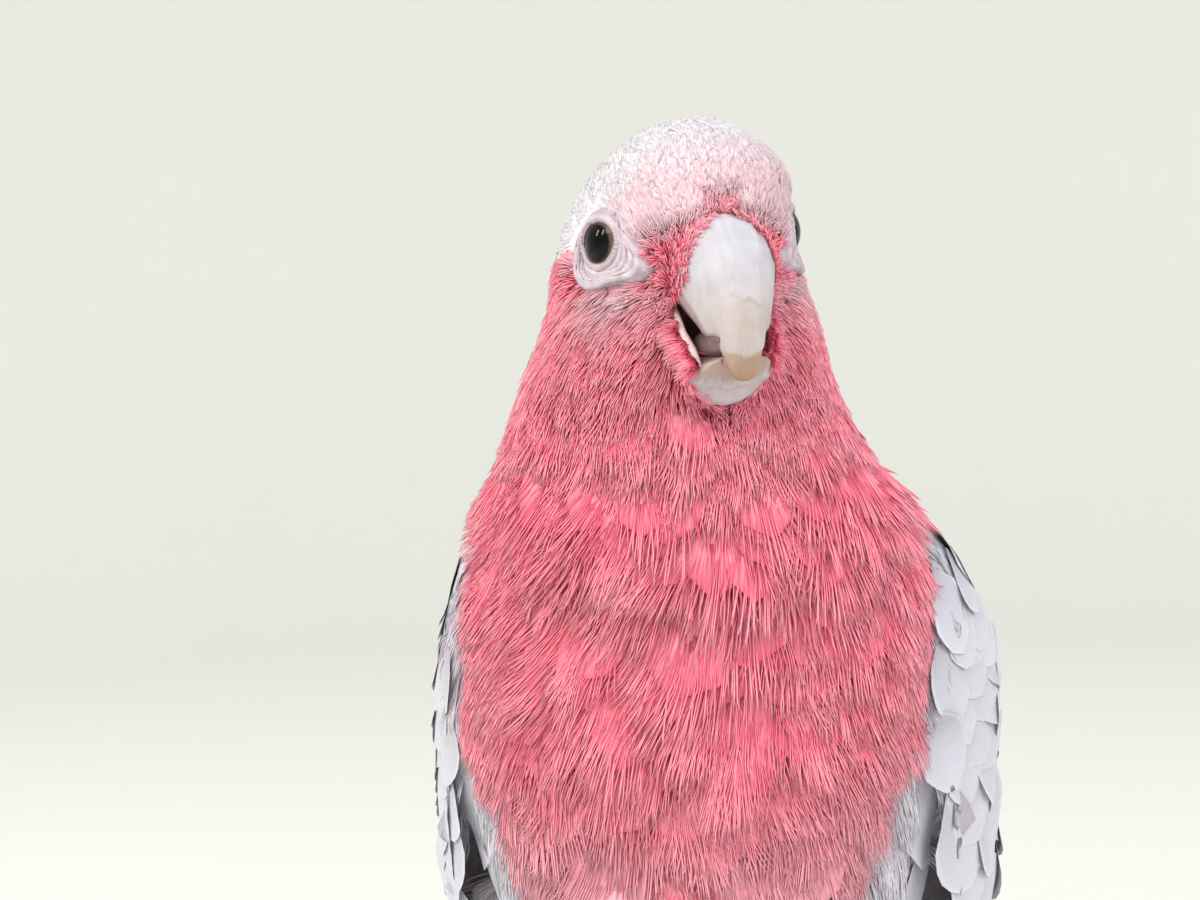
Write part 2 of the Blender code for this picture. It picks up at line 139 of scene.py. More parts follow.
def set_shader(tree, shader, colour, relief=None, **values):
    """Joins colour and relief to a material's shader and sets the shader's own values."""
    join(tree, colour, shader.inputs["Base Color"])
    if relief is not None:
        join(tree, relief, shader.inputs["Normal"])
    for name, value in values.items():
        shader.inputs[name.replace("_", " ")].default_value = value


def clouded_material(name, scale, dark, light, roughness, detail=3.0):
    """A plain finish, clouded between two colours. scale is the number of clouds to a metre."""
    made, tree, shader = new_material(name)
    clouds = node(tree, "TexNoise", Vector=(node(tree, "TexCoord"), "Object"), Scale=scale, Detail=detail)
    colour = node(tree, "ValToRGB", stops=[(0.3, dark), (0.7, light)], Fac=clouds)
    set_shader(tree, shader, colour, Roughness=roughness)
    return made


# %% Mesh helpers
def deselect():
    bpy.ops.object.select_all(action="DESELECT")


def merged_copy(name, nodes):
    """One mesh made of copies of CAD nodes, their loose triangles welded."""
    deselect()
    copies = []
    for source in nodes:
        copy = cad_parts[source].copy()
        copy.data = copy.data.copy()
        copy.parent = None
        for key in list(copy.keys()):
            del copy[key]
        scene.collection.objects.link(copy)
        copy.hide_viewport = copy.hide_render = False
        copy.select_set(True)
        copies.append(copy)
    bpy.context.view_layer.objects.active = copies[0]
    if len(copies) > 1:
        bpy.ops.object.join()
    made = bpy.context.view_layer.objects.active
    made.name = made.data.name = name
    bpy.ops.object.mode_set(mode="EDIT")
    bpy.ops.mesh.select_all(action="SELECT")
    bpy.ops.mesh.remove_doubles(threshold=1e-6)
    bpy.ops.object.mode_set(mode="OBJECT")
    made.data.materials.clear()
    return made


def apply_modifier(obj, kind, **settings):
    deselect()
    obj.select_set(True)
    bpy.context.view_layer.objects.active = obj
    modifier = obj.modifiers.new(kind.lower(), kind)
    for name, value in settings.items():
        setattr(modifier, name, value)
    bpy.ops.object.modifier_apply(modifier=modifier.name)


def fused(name, nodes, voxel, smoothing):
    """Copies of CAD nodes grown into one closed surface, facets smoothed away."""
    made = merged_copy(name, nodes)
    apply_modifier(made, "REMESH", mode="VOXEL", voxel_size=voxel)
    apply_modifier(made, "SMOOTH", factor=0.5, iterations=smoothing)
    return made


def points_of(obj):
    places = np.empty(len(obj.data.vertices) * 3, np.float32)
    obj.data.vertices.foreach_get("co", places)
    return places.reshape(-1, 3).astype(float)


def set_points(obj, places):
    obj.data.vertices.foreach_set("co", np.ascontiguousarray(places, np.float32).ravel())
    obj.data.update()


def normals_of(obj):
    normals = np.empty(len(obj.data.vertices) * 3, np.float32)
    obj.data.vertices.foreach_get("normal", normals)
    return normals.reshape(-1, 3).astype(float)


def set_attribute(mesh, name, values):
    attribute = mesh.attributes.get(name) or mesh.attributes.new(name, "FLOAT", "POINT")
    attribute.data.foreach_set("value", np.ascontiguousarray(values, np.float32))


def step(x, low, high):
    """0 below low, 1 above high, and smooth between. low may be the higher."""
    t = np.clip((x - low) / (high - low), 0, 1)
    return t * t * (3 - 2 * t)


def bell(x, middle, spread):
    return np.exp(-(((x - middle) / spread) ** 2))


def unit(vectors):
    return vectors / np.maximum(np.linalg.norm(vectors, axis=-1, keepdims=True), 1e-12)


# %% [markdown]
# ## Where things are on a bird
# Two sets of axes describe the bird. The head's own run left, forward and up from the point between the
# eyes, and come from the two CAD eyeballs. The body's follow a line down its middle, from the crown
# round the back to the tail: a place is a length along that line and an angle round it, 0 at the
# breast's midline and a quarter turn at the bird's left side.

# %% The head's axes
def middle(name):
    low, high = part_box(name)
    return (low + high) / 2


EYE_AHEAD = 9.3 * MM
eye_line = middle("eye_left") - middle("eye_right")
head_left = eye_line.normalized()
head_ahead = head_left.cross(Vector((0, 0, 1))).normalized()
head_up = head_ahead.cross(head_left)
head_centre = (middle("eye_left") + middle("eye_right")) / 2 - head_ahead * EYE_AHEAD
HEAD_AXES = np.array([head_left, head_ahead, head_up])
HEAD_ORIGIN = np.array(head_centre)


def to_head(places):
    """World places as left, forward and up of the head, in millimetres."""
    return (np.asarray(places) - HEAD_ORIGIN) @ HEAD_AXES.T / MM


def from_head(places):
    return HEAD_ORIGIN + (np.asarray(places, float) * MM) @ HEAD_AXES


print("head turned", round(math.degrees(math.atan2(head_ahead.x, -head_ahead.y)), 1), "degrees")

# %% The body's line
# Left, back and up of each station in millimetres, and the tilt of the section there in degrees.
LINE = np.array(
    (
        (0.0, -47, 240.0, 0),
        (-1.2, -45, 230.0, 0),
        (-2.7, -45, 220.0, 0),
        (-2.9, -45, 208.0, 0),
        (-3.0, -43, 196.0, 2),
        (-2.6, -39, 184.0, 8),
        (-2.4, -32, 171.0, 16),
        (-3.8, -21, 151.0, 26),
        (-3.8, -8, 127.0, 32),
        (-3.0, 8, 103.0, 40),
        (-2.4, 27, 82.0, 50),
        (-1.5, 47, 67.5, 58),
        (-0.6, 69, 54.0, 63),
        (0.0, 97, 39.5, 64),
        (0.0, 136, 18.8, 64),
        (0.0, 173, 1.0, 64),
    )
)
SIDES = {"left": 1, "right": -1}
BODY_TURN = math.radians(-8)
HEAD_TURN = math.radians(23)  # from the body's heading
LINE_START = np.array((2.13, -48.6, 0.0))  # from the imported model's centred origin
STATION = np.concatenate([[0], np.cumsum(np.linalg.norm(np.diff(LINE[:, 1:3], axis=0), axis=1))])
LINE_END = STATION[-1]


def section(s):
    """Centre, unit left and unit back of the body's section at lengths s, in metres and world axes."""
    s = np.atleast_1d(np.asarray(s, float))
    x, y, z, tilt = (np.interp(s, STATION, LINE[:, k]) for k in range(4))
    tilt = np.radians(tilt)
    turn = HEAD_TURN * step(z, 150, 196) + BODY_TURN
    centre = np.stack([x, y, z], -1)
    c, n = math.cos(BODY_TURN), math.sin(BODY_TURN)
    centre = centre @ np.array(((c, n, 0), (-n, c, 0), (0, 0, 1))) + LINE_START
    left = np.stack([np.cos(turn), np.sin(turn), np.zeros_like(turn)], -1)
    back = np.stack([-np.sin(turn) * np.cos(tilt), np.cos(turn) * np.cos(tilt), np.sin(tilt)], -1)
    return centre * MM, left, back


CHUNK = 4000  # places compared with the whole line at once
LINE_DENSE = np.arange(0, LINE_END, 1.0)
DENSE_CENTRE, DENSE_LEFT, DENSE_BACK = section(LINE_DENSE)


def along_body(places):
    """Length along the body's line, in millimetres, and angle round it, of world places."""
    places = np.asarray(places)
    s, angle = np.empty(len(places)), np.empty(len(places))
    for first in range(0, len(places), CHUNK):
        part = places[first : first + CHUNK]
        near = np.argmin(((part[:, None] - DENSE_CENTRE[None]) ** 2).sum(-1), 1)
        out = part - DENSE_CENTRE[near]
        s[first : first + CHUNK] = LINE_DENSE[near]
        angle[first : first + CHUNK] = np.arctan2(
            (out * DENSE_LEFT[near]).sum(-1), -(out * DENSE_BACK[near]).sum(-1)
        )
    return s, angle


print("body line", round(LINE_END), "mm long")

# %% [markdown]
# ## Forms to lay feathers on
# The CAD solids are faceted and stand a hair apart. Fused by a voxel remesh and smoothed, they become
# forms to measure on: the head with its bill, the body without wings, and all of it together. Rays shot
# inwards from outside find the surface at any length and angle.

# %% Forms
FLESH = ["head", "neck", "trunk", "tail", "thigh_left", "thigh_right"]
EYES = ["eye_left", "eye_right"]
BILL = ["bill_upper", "bill_lower"]
WINGS = ["wing_left", "wing_right"]


# The bend of each wing and how far it is rounded out there, in millimetres.
SHOULDERS = (((37.2, -73.0, 168.8), 2.7), ((-46.5, -74.5, 160.0), 1.2))
SHOULDER_SPREAD = 16.0


def fill_shoulders(obj):
    """Rounds out the bend of each wing, which the facets cut short: more on the bird's left."""
    places = points_of(obj)
    for bend, height in SHOULDERS:
        away = np.linalg.norm(places / MM - np.array(bend), axis=1)
        places += normals_of(obj) * (height * bell(away, 0, SHOULDER_SPREAD) * MM)[:, None]
    set_points(obj, places)


class Form:
    """A fused surface that can be asked for places on it."""

    def __init__(self, name, nodes, voxel=1.5 * MM, smoothing=6):
        self.obj = fused(name, nodes, voxel, smoothing)
        fill_shoulders(self.obj)
        self.points = points_of(self.obj)
        self.tree = BVHTree.FromObject(self.obj, bpy.context.evaluated_depsgraph_get())
        self.obj.data.calc_loop_triangles()

    def near(self, place):
        """The nearest place on the form and its normal."""
        hit, normal, _, _ = self.tree.find_nearest(Vector(place))
        return hit, normal

    def outer(self, s, angle, start=0.13):
        """Where rays shot inwards at these lengths and angles meet the form, and the normals there."""
        centre, left, back = section(s)
        angle = np.atleast_1d(angle)
        out = left * np.sin(angle)[:, None] - back * np.cos(angle)[:, None]
        hits, normals = np.empty_like(centre), np.empty_like(centre)
        for k in range(len(centre)):
            begin = Vector(centre[k] + out[k] * start)
            hit, normal, _, _ = self.tree.ray_cast(begin, Vector(-out[k]), start)
            hits[k] = centre[k] + out[k] * 0.004 if hit is None else hit
            normals[k] = out[k] if normal is None else normal
        return hits, normals


face_form = Form("face_form", ["head", "neck"] + EYES + BILL, 0.8 * MM, 4)
body_form = Form("body_form", FLESH + EYES, 1.2 * MM)
whole_form = Form("whole_form", FLESH + WINGS)
print("forms:", len(body_form.points), len(whole_form.points), "points")

# %% [markdown]
# ## Markings
# The pattern belongs to the bird, not to one piece, so one function says how rose and how grey a place
# is. The skin and the soft feathers read it, and so they can't disagree. A galah's cap is white to pale
# pink, its face, neck and underparts are rose, and its back, wings and tail are grey.


# %% Markings
EYE_FORWARD, EYE_UP = 11.0, -0.5  # the middle of the eye's opening, in the head's axes
CROWN_END = 44  # length along the body where the cap ends


def round_eye(forward, up_, half_long, half_high):
    """Below 1 inside an oval round the eye's opening, and above 1 outside it."""
    return np.hypot((forward - EYE_FORWARD) / half_long, (up_ - EYE_UP) / half_high)


def cap_edge(forward):
    """Height of the cap's edge, which runs from above the bill, under the eye, and back to the nape."""
    return np.interp(forward, (-34, -12, 6, 12, 17, 21), (4.0, 0.0, -2.6, -3.0, -1.6, 0.5))


def beside_bill(places):
    """How far outside the edge of visible horn and gape a place is, in millimetres; below 0 inside."""
    left, forward, up_ = to_head(places).T
    heights = (-27.5, -26, -23.6, -21.3, -19, -17, -15, -12, -10, -8, -6, -4, -2, 0, 1.6, 2.6, 3.4)
    half_widths = (-1.5, 3.9, 5.5, 6.3, 6.4, 6.5, 6.9, 7.2, 7.5, 7.8, 7.4, 6.9, 6.0, 4.6, 3.1, 1.4, -0.8)
    beyond = np.maximum(np.abs(left) - np.interp(up_, heights, half_widths), up_ - 2.9)
    return np.where(forward > 14, np.maximum(beyond, (16.5 - forward) * 0.8), 20.0)


def bare_round_eye(places):
    """1 on the bare skin round the eye and 0 outside it."""
    left, forward, up_ = to_head(places).T
    ring = round_eye(forward, up_, 5.4, np.where(up_ > EYE_UP, 4.95, 5.5))
    lobe = np.hypot((forward - 15.0) / 5.2, (up_ + 3.9 + 0.25 * (forward - 15)) / 3.3)
    on_ring = (1 - step(ring, 0.94, 1.06)) * step(np.abs(left), 4.5, 6)
    return np.maximum(on_ring, (1 - step(lobe, 0.94, 1.06)) * step(np.abs(left), 7, 9))


def markings(places):
    """How rose and how grey a place is, each from 0 to 1. Neither is the white of the cap."""
    left, forward, up_ = to_head(places).T
    s, angle = along_body(places)
    side = np.abs(left)
    front = np.degrees(np.abs(angle))
    # The cap's edge is ragged and soft.
    edge = cap_edge(forward) + 0.7 * np.sin(forward * 0.9 + left) + 0.4 * np.sin(forward * 2.3)
    cap = step(up_, edge - 1.6, edge + 1.8) * step(s, CROWN_END, CROWN_END - 8)
    # The forehead blushes towards the bill, and the feathers at its very edge are deep rose.
    blush = 0.32 * step(forward, 8, 20) * step(up_, 19, 3)
    rose = 1 - cap * (1 - 0.02 - blush)
    band = step(beside_bill(places), 4.4 + 4.2 * bell(up_, -3.5, 3.8) + 2.4 * step(up_, -1, 3), 0.8)
    rose = np.maximum(rose, 0.85 * band)
    # Pale feathers lie under the bare skin round the eye.
    rose -= 0.62 * np.exp(-(((forward - 13) / 6.5) ** 2 + ((up_ + 10.2) / 2.6) ** 2)) * step(side, 7, 11)
    rose -= 0.30 * np.exp(-(((forward - 12) / 6.0) ** 2 + ((up_ + 15.0) / 3.0) ** 2)) * step(side, 7, 11)
    # Painted shade: a thin line of deeper rose over and behind the eye stands for the shade in the crease
    # there.
    ring = round_eye(forward, up_, 5.4, 5.5)
    rose += 0.75 * bell(ring, 1.10, 0.07) * step(up_, 0.5, 3.5) * step(forward, 15, 11) * step(side, 7, 9)
    # The belly is paler than the breast, but for a deep patch in its middle.
    rose -= 0.34 * step(s, 94, 124) * (1 - 0.9 * bell(s, 117, 6) * bell(np.degrees(angle), 4, 7))
    # The mantle starts below the hind neck, and the vent pales towards the tail.
    edge_angle = np.interp(s, (50, 62, 75, 100, 150, 200), (150, 124, 104, 100, 100, 84))
    grey = step(front, edge_angle - 4, edge_angle + 5) * step(s, 52, 62)
    grey = np.maximum(grey, step(s, 190, 216))
    return np.clip(rose, 0, 1), np.clip(grey, 0, 1)


# %% [markdown]
# ## Skin
# Under the feathers one closed skin covers head, neck, body, wings and tail, with no seam. It is the
# fused form sunk by the depth of the coat, but never by more than a third of the thickness there, so
# that thin wings aren't turned inside out. It is rose, white or grey where the feathers are, so that a
# gap between two feathers shows the right colour.

# %% Skin shape
COAT_DEPTH = 3.2 * MM
FACE_DEPTH = 0.7 * MM
SHARE_SUNK = 0.34  # the most of the thickness at a place that the skin may sink
WING_REACH = 4 * MM  # skin nearer than this to a wing is grey

skin = fused("skin", FLESH + WINGS + BILL, 1.2 * MM, 5)
fill_shoulders(skin)
skin_points, skin_normals = points_of(skin), normals_of(skin)
skin_tree = BVHTree.FromObject(skin, bpy.context.evaluated_depsgraph_get())
skin_s, _ = along_body(skin_points)
sink = FACE_DEPTH + (COAT_DEPTH - FACE_DEPTH) * step(skin_s, 30, 62)
for k, (place, normal) in enumerate(zip(skin_points, skin_normals)):
    inwards = Vector(-normal)
    _, _, _, room = skin_tree.ray_cast(Vector(place) + inwards * 1e-5, inwards, 0.03)
    if room is not None:
        sink[k] = min(sink[k], SHARE_SUNK * room)
set_points(skin, skin_points - skin_normals * sink[:, None])
apply_modifier(skin, "SMOOTH", factor=0.5, iterations=3)
bpy.ops.object.shade_smooth()
print("skin:", len(skin.data.polygons), "faces")

# %% Skin material
skin_places = points_of(skin)
skin_rose, skin_grey = markings(skin_points)
graph = bpy.context.evaluated_depsgraph_get()
wing_trees = [BVHTree.FromObject(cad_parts[wing], graph) for wing in WINGS]
for k, place in enumerate(skin_points):
    if any(found.find_nearest(Vector(place), WING_REACH)[0] is not None for found in wing_trees):
        skin_grey[k] = 1
skin_rose *= 0.55 + 0.45 * step(beside_bill(skin_points), 0.3, 1.0)
set_attribute(skin.data, "rose", skin_rose)
set_attribute(skin.data, "grey", skin_grey)
mouth_left, mouth_ahead, mouth_up = to_head(skin_places).T
in_mouth = (mouth_left / 9.0) ** 2 + ((mouth_ahead - 17) / 12.2) ** 2 + ((mouth_up + 12.6) / 7.0) ** 2
in_mouth = step(in_mouth, 1.12, 0.98)
set_attribute(skin.data, "mouth", in_mouth)
set_attribute(skin.data, "bare", bare_round_eye(skin_places))

# Skin under down: matt, a little pink, mottled where feathers root.
skin_material, tree, shader = new_material("downy_skin")
mottle = node(tree, "TexNoise", Vector=(node(tree, "TexCoord"), "Object"), Scale=420.0, Detail=3.0)
rose_skin = node(tree, "ValToRGB", stops=[(0.3, "#B02A48"), (0.7, "#C04460")], Fac=mottle)
coloured = node(tree, "ValToRGB", stops=[(0.3, "#E6DDE3"), (0.7, "#EFE8ED")], Fac=mottle)
grey_skin = node(tree, "ValToRGB", stops=[(0.3, "#8F8D94"), (0.7, "#A9A8B0")], Fac=mottle)
bare_skin, mouth_lining = linear("#C9BCC4"), linear("#A8707A")
for part, colour in (("rose", rose_skin), ("grey", grey_skin), ("bare", bare_skin), ("mouth", mouth_lining)):
    here = node(tree, "Attribute", {"attribute_name": part})
    coloured = node(tree, "Mix", COLOURS, in0=here, in6=coloured, in7=colour)
set_shader(tree, shader, coloured, Roughness=0.7)
skin.data.materials.append(skin_material)

# %% [markdown]
# ## Eyes
# A galah's eye is a dark ball with a brown iris, seen through a round opening of about 7 mm. The ball is
# one smooth wet sphere, and iris and pupil are rings drawn round its own axis. The lids are a ring of
# bare skin: a beaded rim that hugs the ball, then folds that follow the rim outwards until the feathers
# hide them. In front the bare skin runs on as a lobe towards the bill.

# %% Eyeballs
EYE_OUT = 12.3
EYE_RADIUS = 5.25
EYE_TURN = math.radians(25)  # how far each eye looks ahead of straight sideways
IRIS_MAP = 12  # millimetres across the whole of the iris's map


def from_eye(side, across, above, out):
    """World places from an eye's own axes: across towards the bill, above, and out along its sight."""
    sideways = math.cos(EYE_TURN) * out - math.sin(EYE_TURN) * across
    forwards = math.sin(EYE_TURN) * out + math.cos(EYE_TURN) * across
    place = np.stack([(EYE_OUT + sideways) * side, EYE_AHEAD / MM + forwards, above + 0 * out], -1)
    return from_head(place)


def map_by_point(mesh, name, pairs):
    """A UV map from one (u, v) for each point."""
    layer = mesh.uv_layers.new(name=name)
    loops = np.empty(len(mesh.loops), np.int32)
    mesh.loops.foreach_get("vertex_index", loops)
    layer.data.foreach_set("uv", np.asarray(pairs, np.float32)[loops].ravel())


eye_material, tree, shader = new_material("eye_wet_dark_brown")
uv = node(tree, "UVMap", {"uv_map": "Iris"})
centred = node(tree, "VectorMath", {"operation": "SUBTRACT"}, in0=uv, in1=(0.5, 0.5, 0.0))
radius = node(tree, "VectorMath", {"operation": "LENGTH"}, in0=centred)
fibre = node(tree, "TexNoise", Vector=uv, Scale=60.0, Detail=2.0)
rings = [(0.0, "#020203"), (0.222, "#030304"), (0.232, "#1C1512"), (0.25, "#54453D"), (0.275, "#6A584E"),
         (0.300, "#43362F"), (0.33, "#15100E")]
iris = node(tree, "ValToRGB", stops=rings, Fac=(radius, "Value"))
flecks = node(tree, "MapRange", Value=fibre, To_Min=0.3, To_Max=1.2)
flecked = node(tree, "Mix", MULTIPLIED, in0=0.35, in6=iris, in7=flecks)
set_shader(tree, shader, flecked, Roughness=0.05, Specular_IOR_Level=0.16)

for label, side in SIDES.items():
    deselect()
    bpy.ops.mesh.primitive_uv_sphere_add(segments=64, ring_count=40, radius=EYE_RADIUS)
    ball = bpy.context.object
    ball.name = ball.data.name = f"eyeball_{label}"
    # The sphere's poles lie on the line of sight, so that its rings are the iris's rings.
    across, above, out = points_of(ball).T
    map_by_point(ball.data, "Iris", 0.5 + np.stack([across, above], -1) / IRIS_MAP)
    set_points(ball, from_eye(side, across * side, above, out))
    bpy.ops.object.shade_smooth()
    ball.data.materials.append(eye_material)
    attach(ball, "root")
    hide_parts(f"eye_{label}")
    print(f"eye_{label}: {EYE_RADIUS} mm in radius, {len(ball.data.polygons)} faces")

# %% Bare skin material
lid_material, tree, shader = new_material("bare_eyelid_skin")
place = (node(tree, "TexCoord"), "Object")
pores = node(tree, "TexVoronoi", Vector=place, Scale=1900.0)
blotch = node(tree, "TexNoise", Vector=place, Scale=380.0, Detail=3.0)
# fold paints light on the beaded rims and fold crests, and shade in the fold troughs and the groove between
# the rims.
fold = node(tree, "Attribute", {"attribute_name": "fold"})
blotches = [(0.3, "#B3A2AC"), (0.55, "#C4B6BE"), (0.75, "#D2C7CB")]
skin_colour = node(tree, "ValToRGB", stops=blotches, Fac=blotch)
painted_fold_shading = node(tree, "Mix", COLOURS, in0=(fold, "Fac"), in6=linear("#7F6672"), in7=skin_colour)
relief = node(tree, "Bump", Strength=0.6, Distance=0.00015, Height=(pores, "Distance"))
set_shader(
    tree, shader, painted_fold_shading, relief, Roughness=0.48,
    Subsurface_Weight=0.15, Subsurface_Radius=(0.002, 0.0008, 0.0006), Subsurface_Scale=0.5,
)

# %% Eyelids and the bare skin round them
OPENING = 3.34  # radius of the lids' inner edge
RIM_END = 4.5  # radius where the beaded rim ends and the folds begin
LID_END = 9.0


def ball_height(r):
    """How far out the eyeball reaches at a distance from its axis."""
    return np.sqrt(np.maximum(EYE_RADIUS**2 - r**2, 0.5))


def lid_ring(label, side):
    """A disc of rings drawn out from a flat circle, then laid on the ball and the head."""
    deselect()
    bpy.ops.mesh.primitive_circle_add(vertices=128, radius=OPENING * MM, fill_type="NOTHING")
    lid = bpy.context.object
    bpy.ops.object.mode_set(mode="EDIT")
    bpy.ops.mesh.select_all(action="SELECT")
    rim_rings = [3.40, 3.47, 3.56, 3.67, 3.80, 3.94, 4.08, 4.22, 4.36]
    last = OPENING
    for r in rim_rings + list(np.arange(RIM_END, LID_END + 0.1, 0.14)):
        bpy.ops.mesh.extrude_region_move()
        bpy.ops.transform.resize(value=(r / last, r / last, 1), center_override=(0, 0, 0))
        last = r
    bpy.ops.object.mode_set(mode="OBJECT")
    flat = points_of(lid)[:, :2] / MM
    r, phi = np.hypot(*flat.T), np.arctan2(flat[:, 1], flat[:, 0])
    # The outer rings stretch towards the bill, below the level of the eye.
    share = np.clip((r - RIM_END) / (LID_END - RIM_END), 0, 1)
    degrees = np.degrees(phi)
    edge = 6.0 + 5.6 * bell(degrees, -28, 25) + 1.3 * bell(degrees, -95, 45) - 1.0 * bell(degrees, 90, 50)
    almond = 1 + 0.045 * np.cos(2 * (phi - 0.9)) * (1 - share)
    reach = np.where(r > RIM_END, RIM_END + (edge - RIM_END) * share, r) * almond
    across, above = reach * np.cos(phi) * (1 + 0.11 * step(reach, 6.0, 4.0)), reach * np.sin(phi)
    outside = from_eye(side, across, above, np.full(len(r), 15.0))
    inwards = Vector((from_eye(side, 0, 0, np.array(-1.0)) - from_eye(side, 0, 0, np.array(0.0))) / MM)
    on_head = np.empty(len(r))
    for k, start in enumerate(outside):
        hit, _, _, gone = face_form.tree.ray_cast(Vector(start), inwards, 0.025)
        on_head[k] = 2.0 if hit is None else 15.0 - gone / MM
    ball = ball_height(np.hypot(across, above))
    joined = step(reach, 3.8, 6.0)
    height = (ball + 0.36 * step(reach, 3.44, 3.75)) * (1 - joined) + (on_head + 0.15) * joined
    height = np.where(r < 3.42, ball - 0.35, height)
    wander = 0.9 * np.sin(phi * 2 + 0.7) + 0.6 * np.sin(phi * 5 + side) + 0.35 * np.sin(phi * 11)
    folds = np.sin((r + 0.12 * wander) * 2 * np.pi / 0.62)
    rim = bell(r, 3.80, 0.20) * (0.14 + 0.07 * np.sin(phi * 38)) + bell(r, 4.65, 0.24) * 0.14
    fade = step(r, 4.2, 5.0) * step(share, 1.0, 0.7)
    height = height + rim + 0.09 * folds * fade - 1.6 * step(share, 0.72, 1.0)
    spokes = np.sin(phi * 27 + 2.0 * np.sin(r * 1.7)) * step(share, 0.2, 0.6) * bell(degrees, -28, 34)
    height = height + 0.06 * spokes
    set_points(lid, from_eye(side, across, above, height))
    # Painted light and shade: the tint is lighter on the beads, the fold crests and the spokes, and darker in
    # the fold troughs and the groove between the two beads.
    tint = 0.70 + 1.3 * rim + 0.22 * folds * fade + 0.16 * spokes - 0.45 * bell(r, 4.32, 0.16)
    set_attribute(lid.data, "fold", np.clip(tint, 0, 1))
    apply_modifier(lid, "SOLIDIFY", thickness=0.5 * MM, offset=-side)
    bpy.ops.object.mode_set(mode="EDIT")
    bpy.ops.mesh.select_all(action="SELECT")
    bpy.ops.mesh.normals_make_consistent(inside=False)
    bpy.ops.object.mode_set(mode="OBJECT")
    bpy.ops.object.shade_smooth()
    lid.name = lid.data.name = f"eyelids_{label}"
    lid.data.materials.append(lid_material)
    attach(lid, "root")
    print(f"eyelids_{label}:", len(lid.data.polygons), "faces")


for label, side in SIDES.items():
    lid_ring(label, side)

# %% [markdown]
# ## Bill
# The bill is horn over bone, grown in layers. It is chalky grey-white, warmer and clearer towards the
# tip where no bone backs it, with fine lines that run from base to tip, and a worn flake on the front.
# Each half starts as its CAD shape, remeshed finely and smoothed, and is then shaped by small pushes.

# %% Bill shapes
def refined(name, nodes, voxel, smoothing):
    made = fused(name, nodes, voxel, smoothing)
    bpy.ops.object.shade_smooth()
    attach(made, "root")
    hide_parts(*nodes)
    return made


upper = refined("upper_bill", ["bill_upper"], 0.33 * MM, 6)
places = points_of(upper)
normals = normals_of(upper)
facing = normals @ HEAD_AXES.T
left, forward, up_ = to_head(places).T
# The cutting edge hangs down in a lobe on each side, then steps up to the hook in a notch.
side = np.abs(left)
lobe = 1.7 * bell(side, 5.2, 2.4) * bell(forward, 22.5, 5.5) * bell(up_, -12.8, 3.2)
lobe = lobe + 0.9 * bell(side, 4.5, 1.3) * bell(forward, 25.0, 2.2) * bell(up_, -13.6, 1.6)
places -= np.outer(lobe * MM, HEAD_AXES[2])
notch = bell(side, 3.9, 1.2) * bell(up_, -16.2, 0.9) * step(forward, 27.9, 26.2)
places -= np.outer(np.sign(left) * notch * 0.8 * MM, HEAD_AXES[0])
outward = step(facing[:, 1], -0.1, 0.3)
# Two low ridges run down the front, off its middle, and a thin layer has flaked off below them.
push = 0.20 * bell(left, -1.5 - 0.05 * up_, 0.5) * step(up_, 2.5, 0) * step(up_, -11, -7)
push += 0.12 * bell(left, -4.6, 0.8) * step(up_, 1, -2) * step(up_, -12, -7)
push += 0.05 * np.sin(left * 2.3 + 0.3 * up_) * step(up_, -12, -8)
edge = -11.2 - 0.35 * left + 0.30 * np.sin(left * 2.4) + 0.12 * np.sin(left * 6.0)
flake = step(up_, edge + 0.22, edge - 0.10) * step(up_, -20.5, -14) * bell(left, -0.2, 2.5) ** 0.5
push -= 0.30 * flake
clear = step(up_ - 0.38 * np.abs(left + 0.3), -19.2, -20.0)
push -= 0.22 * clear * outward
set_points(upper, places + normals * (push * outward * MM)[:, None])
set_attribute(upper.data, "inner", step(facing[:, 1], 0.25, -0.25) * step(up_, 0, -6))
set_attribute(upper.data, "hook", 0.50 * step(up_, -3, -15) + 0.07 * flake + 0.42 * clear)
covered = step(beside_bill(places), -0.4, 0.6) * (1 - 0.75 * bell(up_, -7.5, 2.6))
set_attribute(upper.data, "covered", covered)
map_by_point(upper.data, "Growth", np.stack([left / 20 + 0.5, up_ / 30], -1))

lower = refined("lower_bill", ["bill_lower"], 0.33 * MM, 6)
places = points_of(lower)
normals = normals_of(lower)
facing = normals @ HEAD_AXES.T
left, forward, up_ = to_head(places).T
ridge_height = -23.4 + 0.03 * left**2 + 0.25 * np.sin(left * 1.7) + 0.12 * np.sin(left * 4.6)
in_front = step(forward, 17, 20)
push = 0.30 * bell(up_, ridge_height, 0.40) * in_front
push -= 0.25 * step(up_, ridge_height, ridge_height + 1.2) * in_front * step(facing[:, 2], 0.6, 0.2)
set_points(lower, places + normals * (push * MM)[:, None])
set_attribute(lower.data, "inner", step(facing[:, 2], 0.35, 0.8) * step(forward, 25.0, 21.5))
front = step(up_, ridge_height - 0.3, ridge_height + 0.9) * step(forward, 17, 23)
set_attribute(lower.data, "hook", 0.30 + 0.40 * front - 0.25 * bell(up_, ridge_height, 0.5))
set_attribute(lower.data, "covered", step(beside_bill(places), -0.4, 0.6))
map_by_point(lower.data, "Growth", np.stack([left / 20 + 0.5, up_ / 30], -1))
print("bill:", len(upper.data.polygons), len(lower.data.polygons), "faces")

# %% Gape rims
def at_share(path, share):
    """Points at shares of the way along a path, an array of places."""
    at = share * (len(path) - 1)
    return np.stack([np.interp(at, range(len(path)), column) for column in path.T], -1)


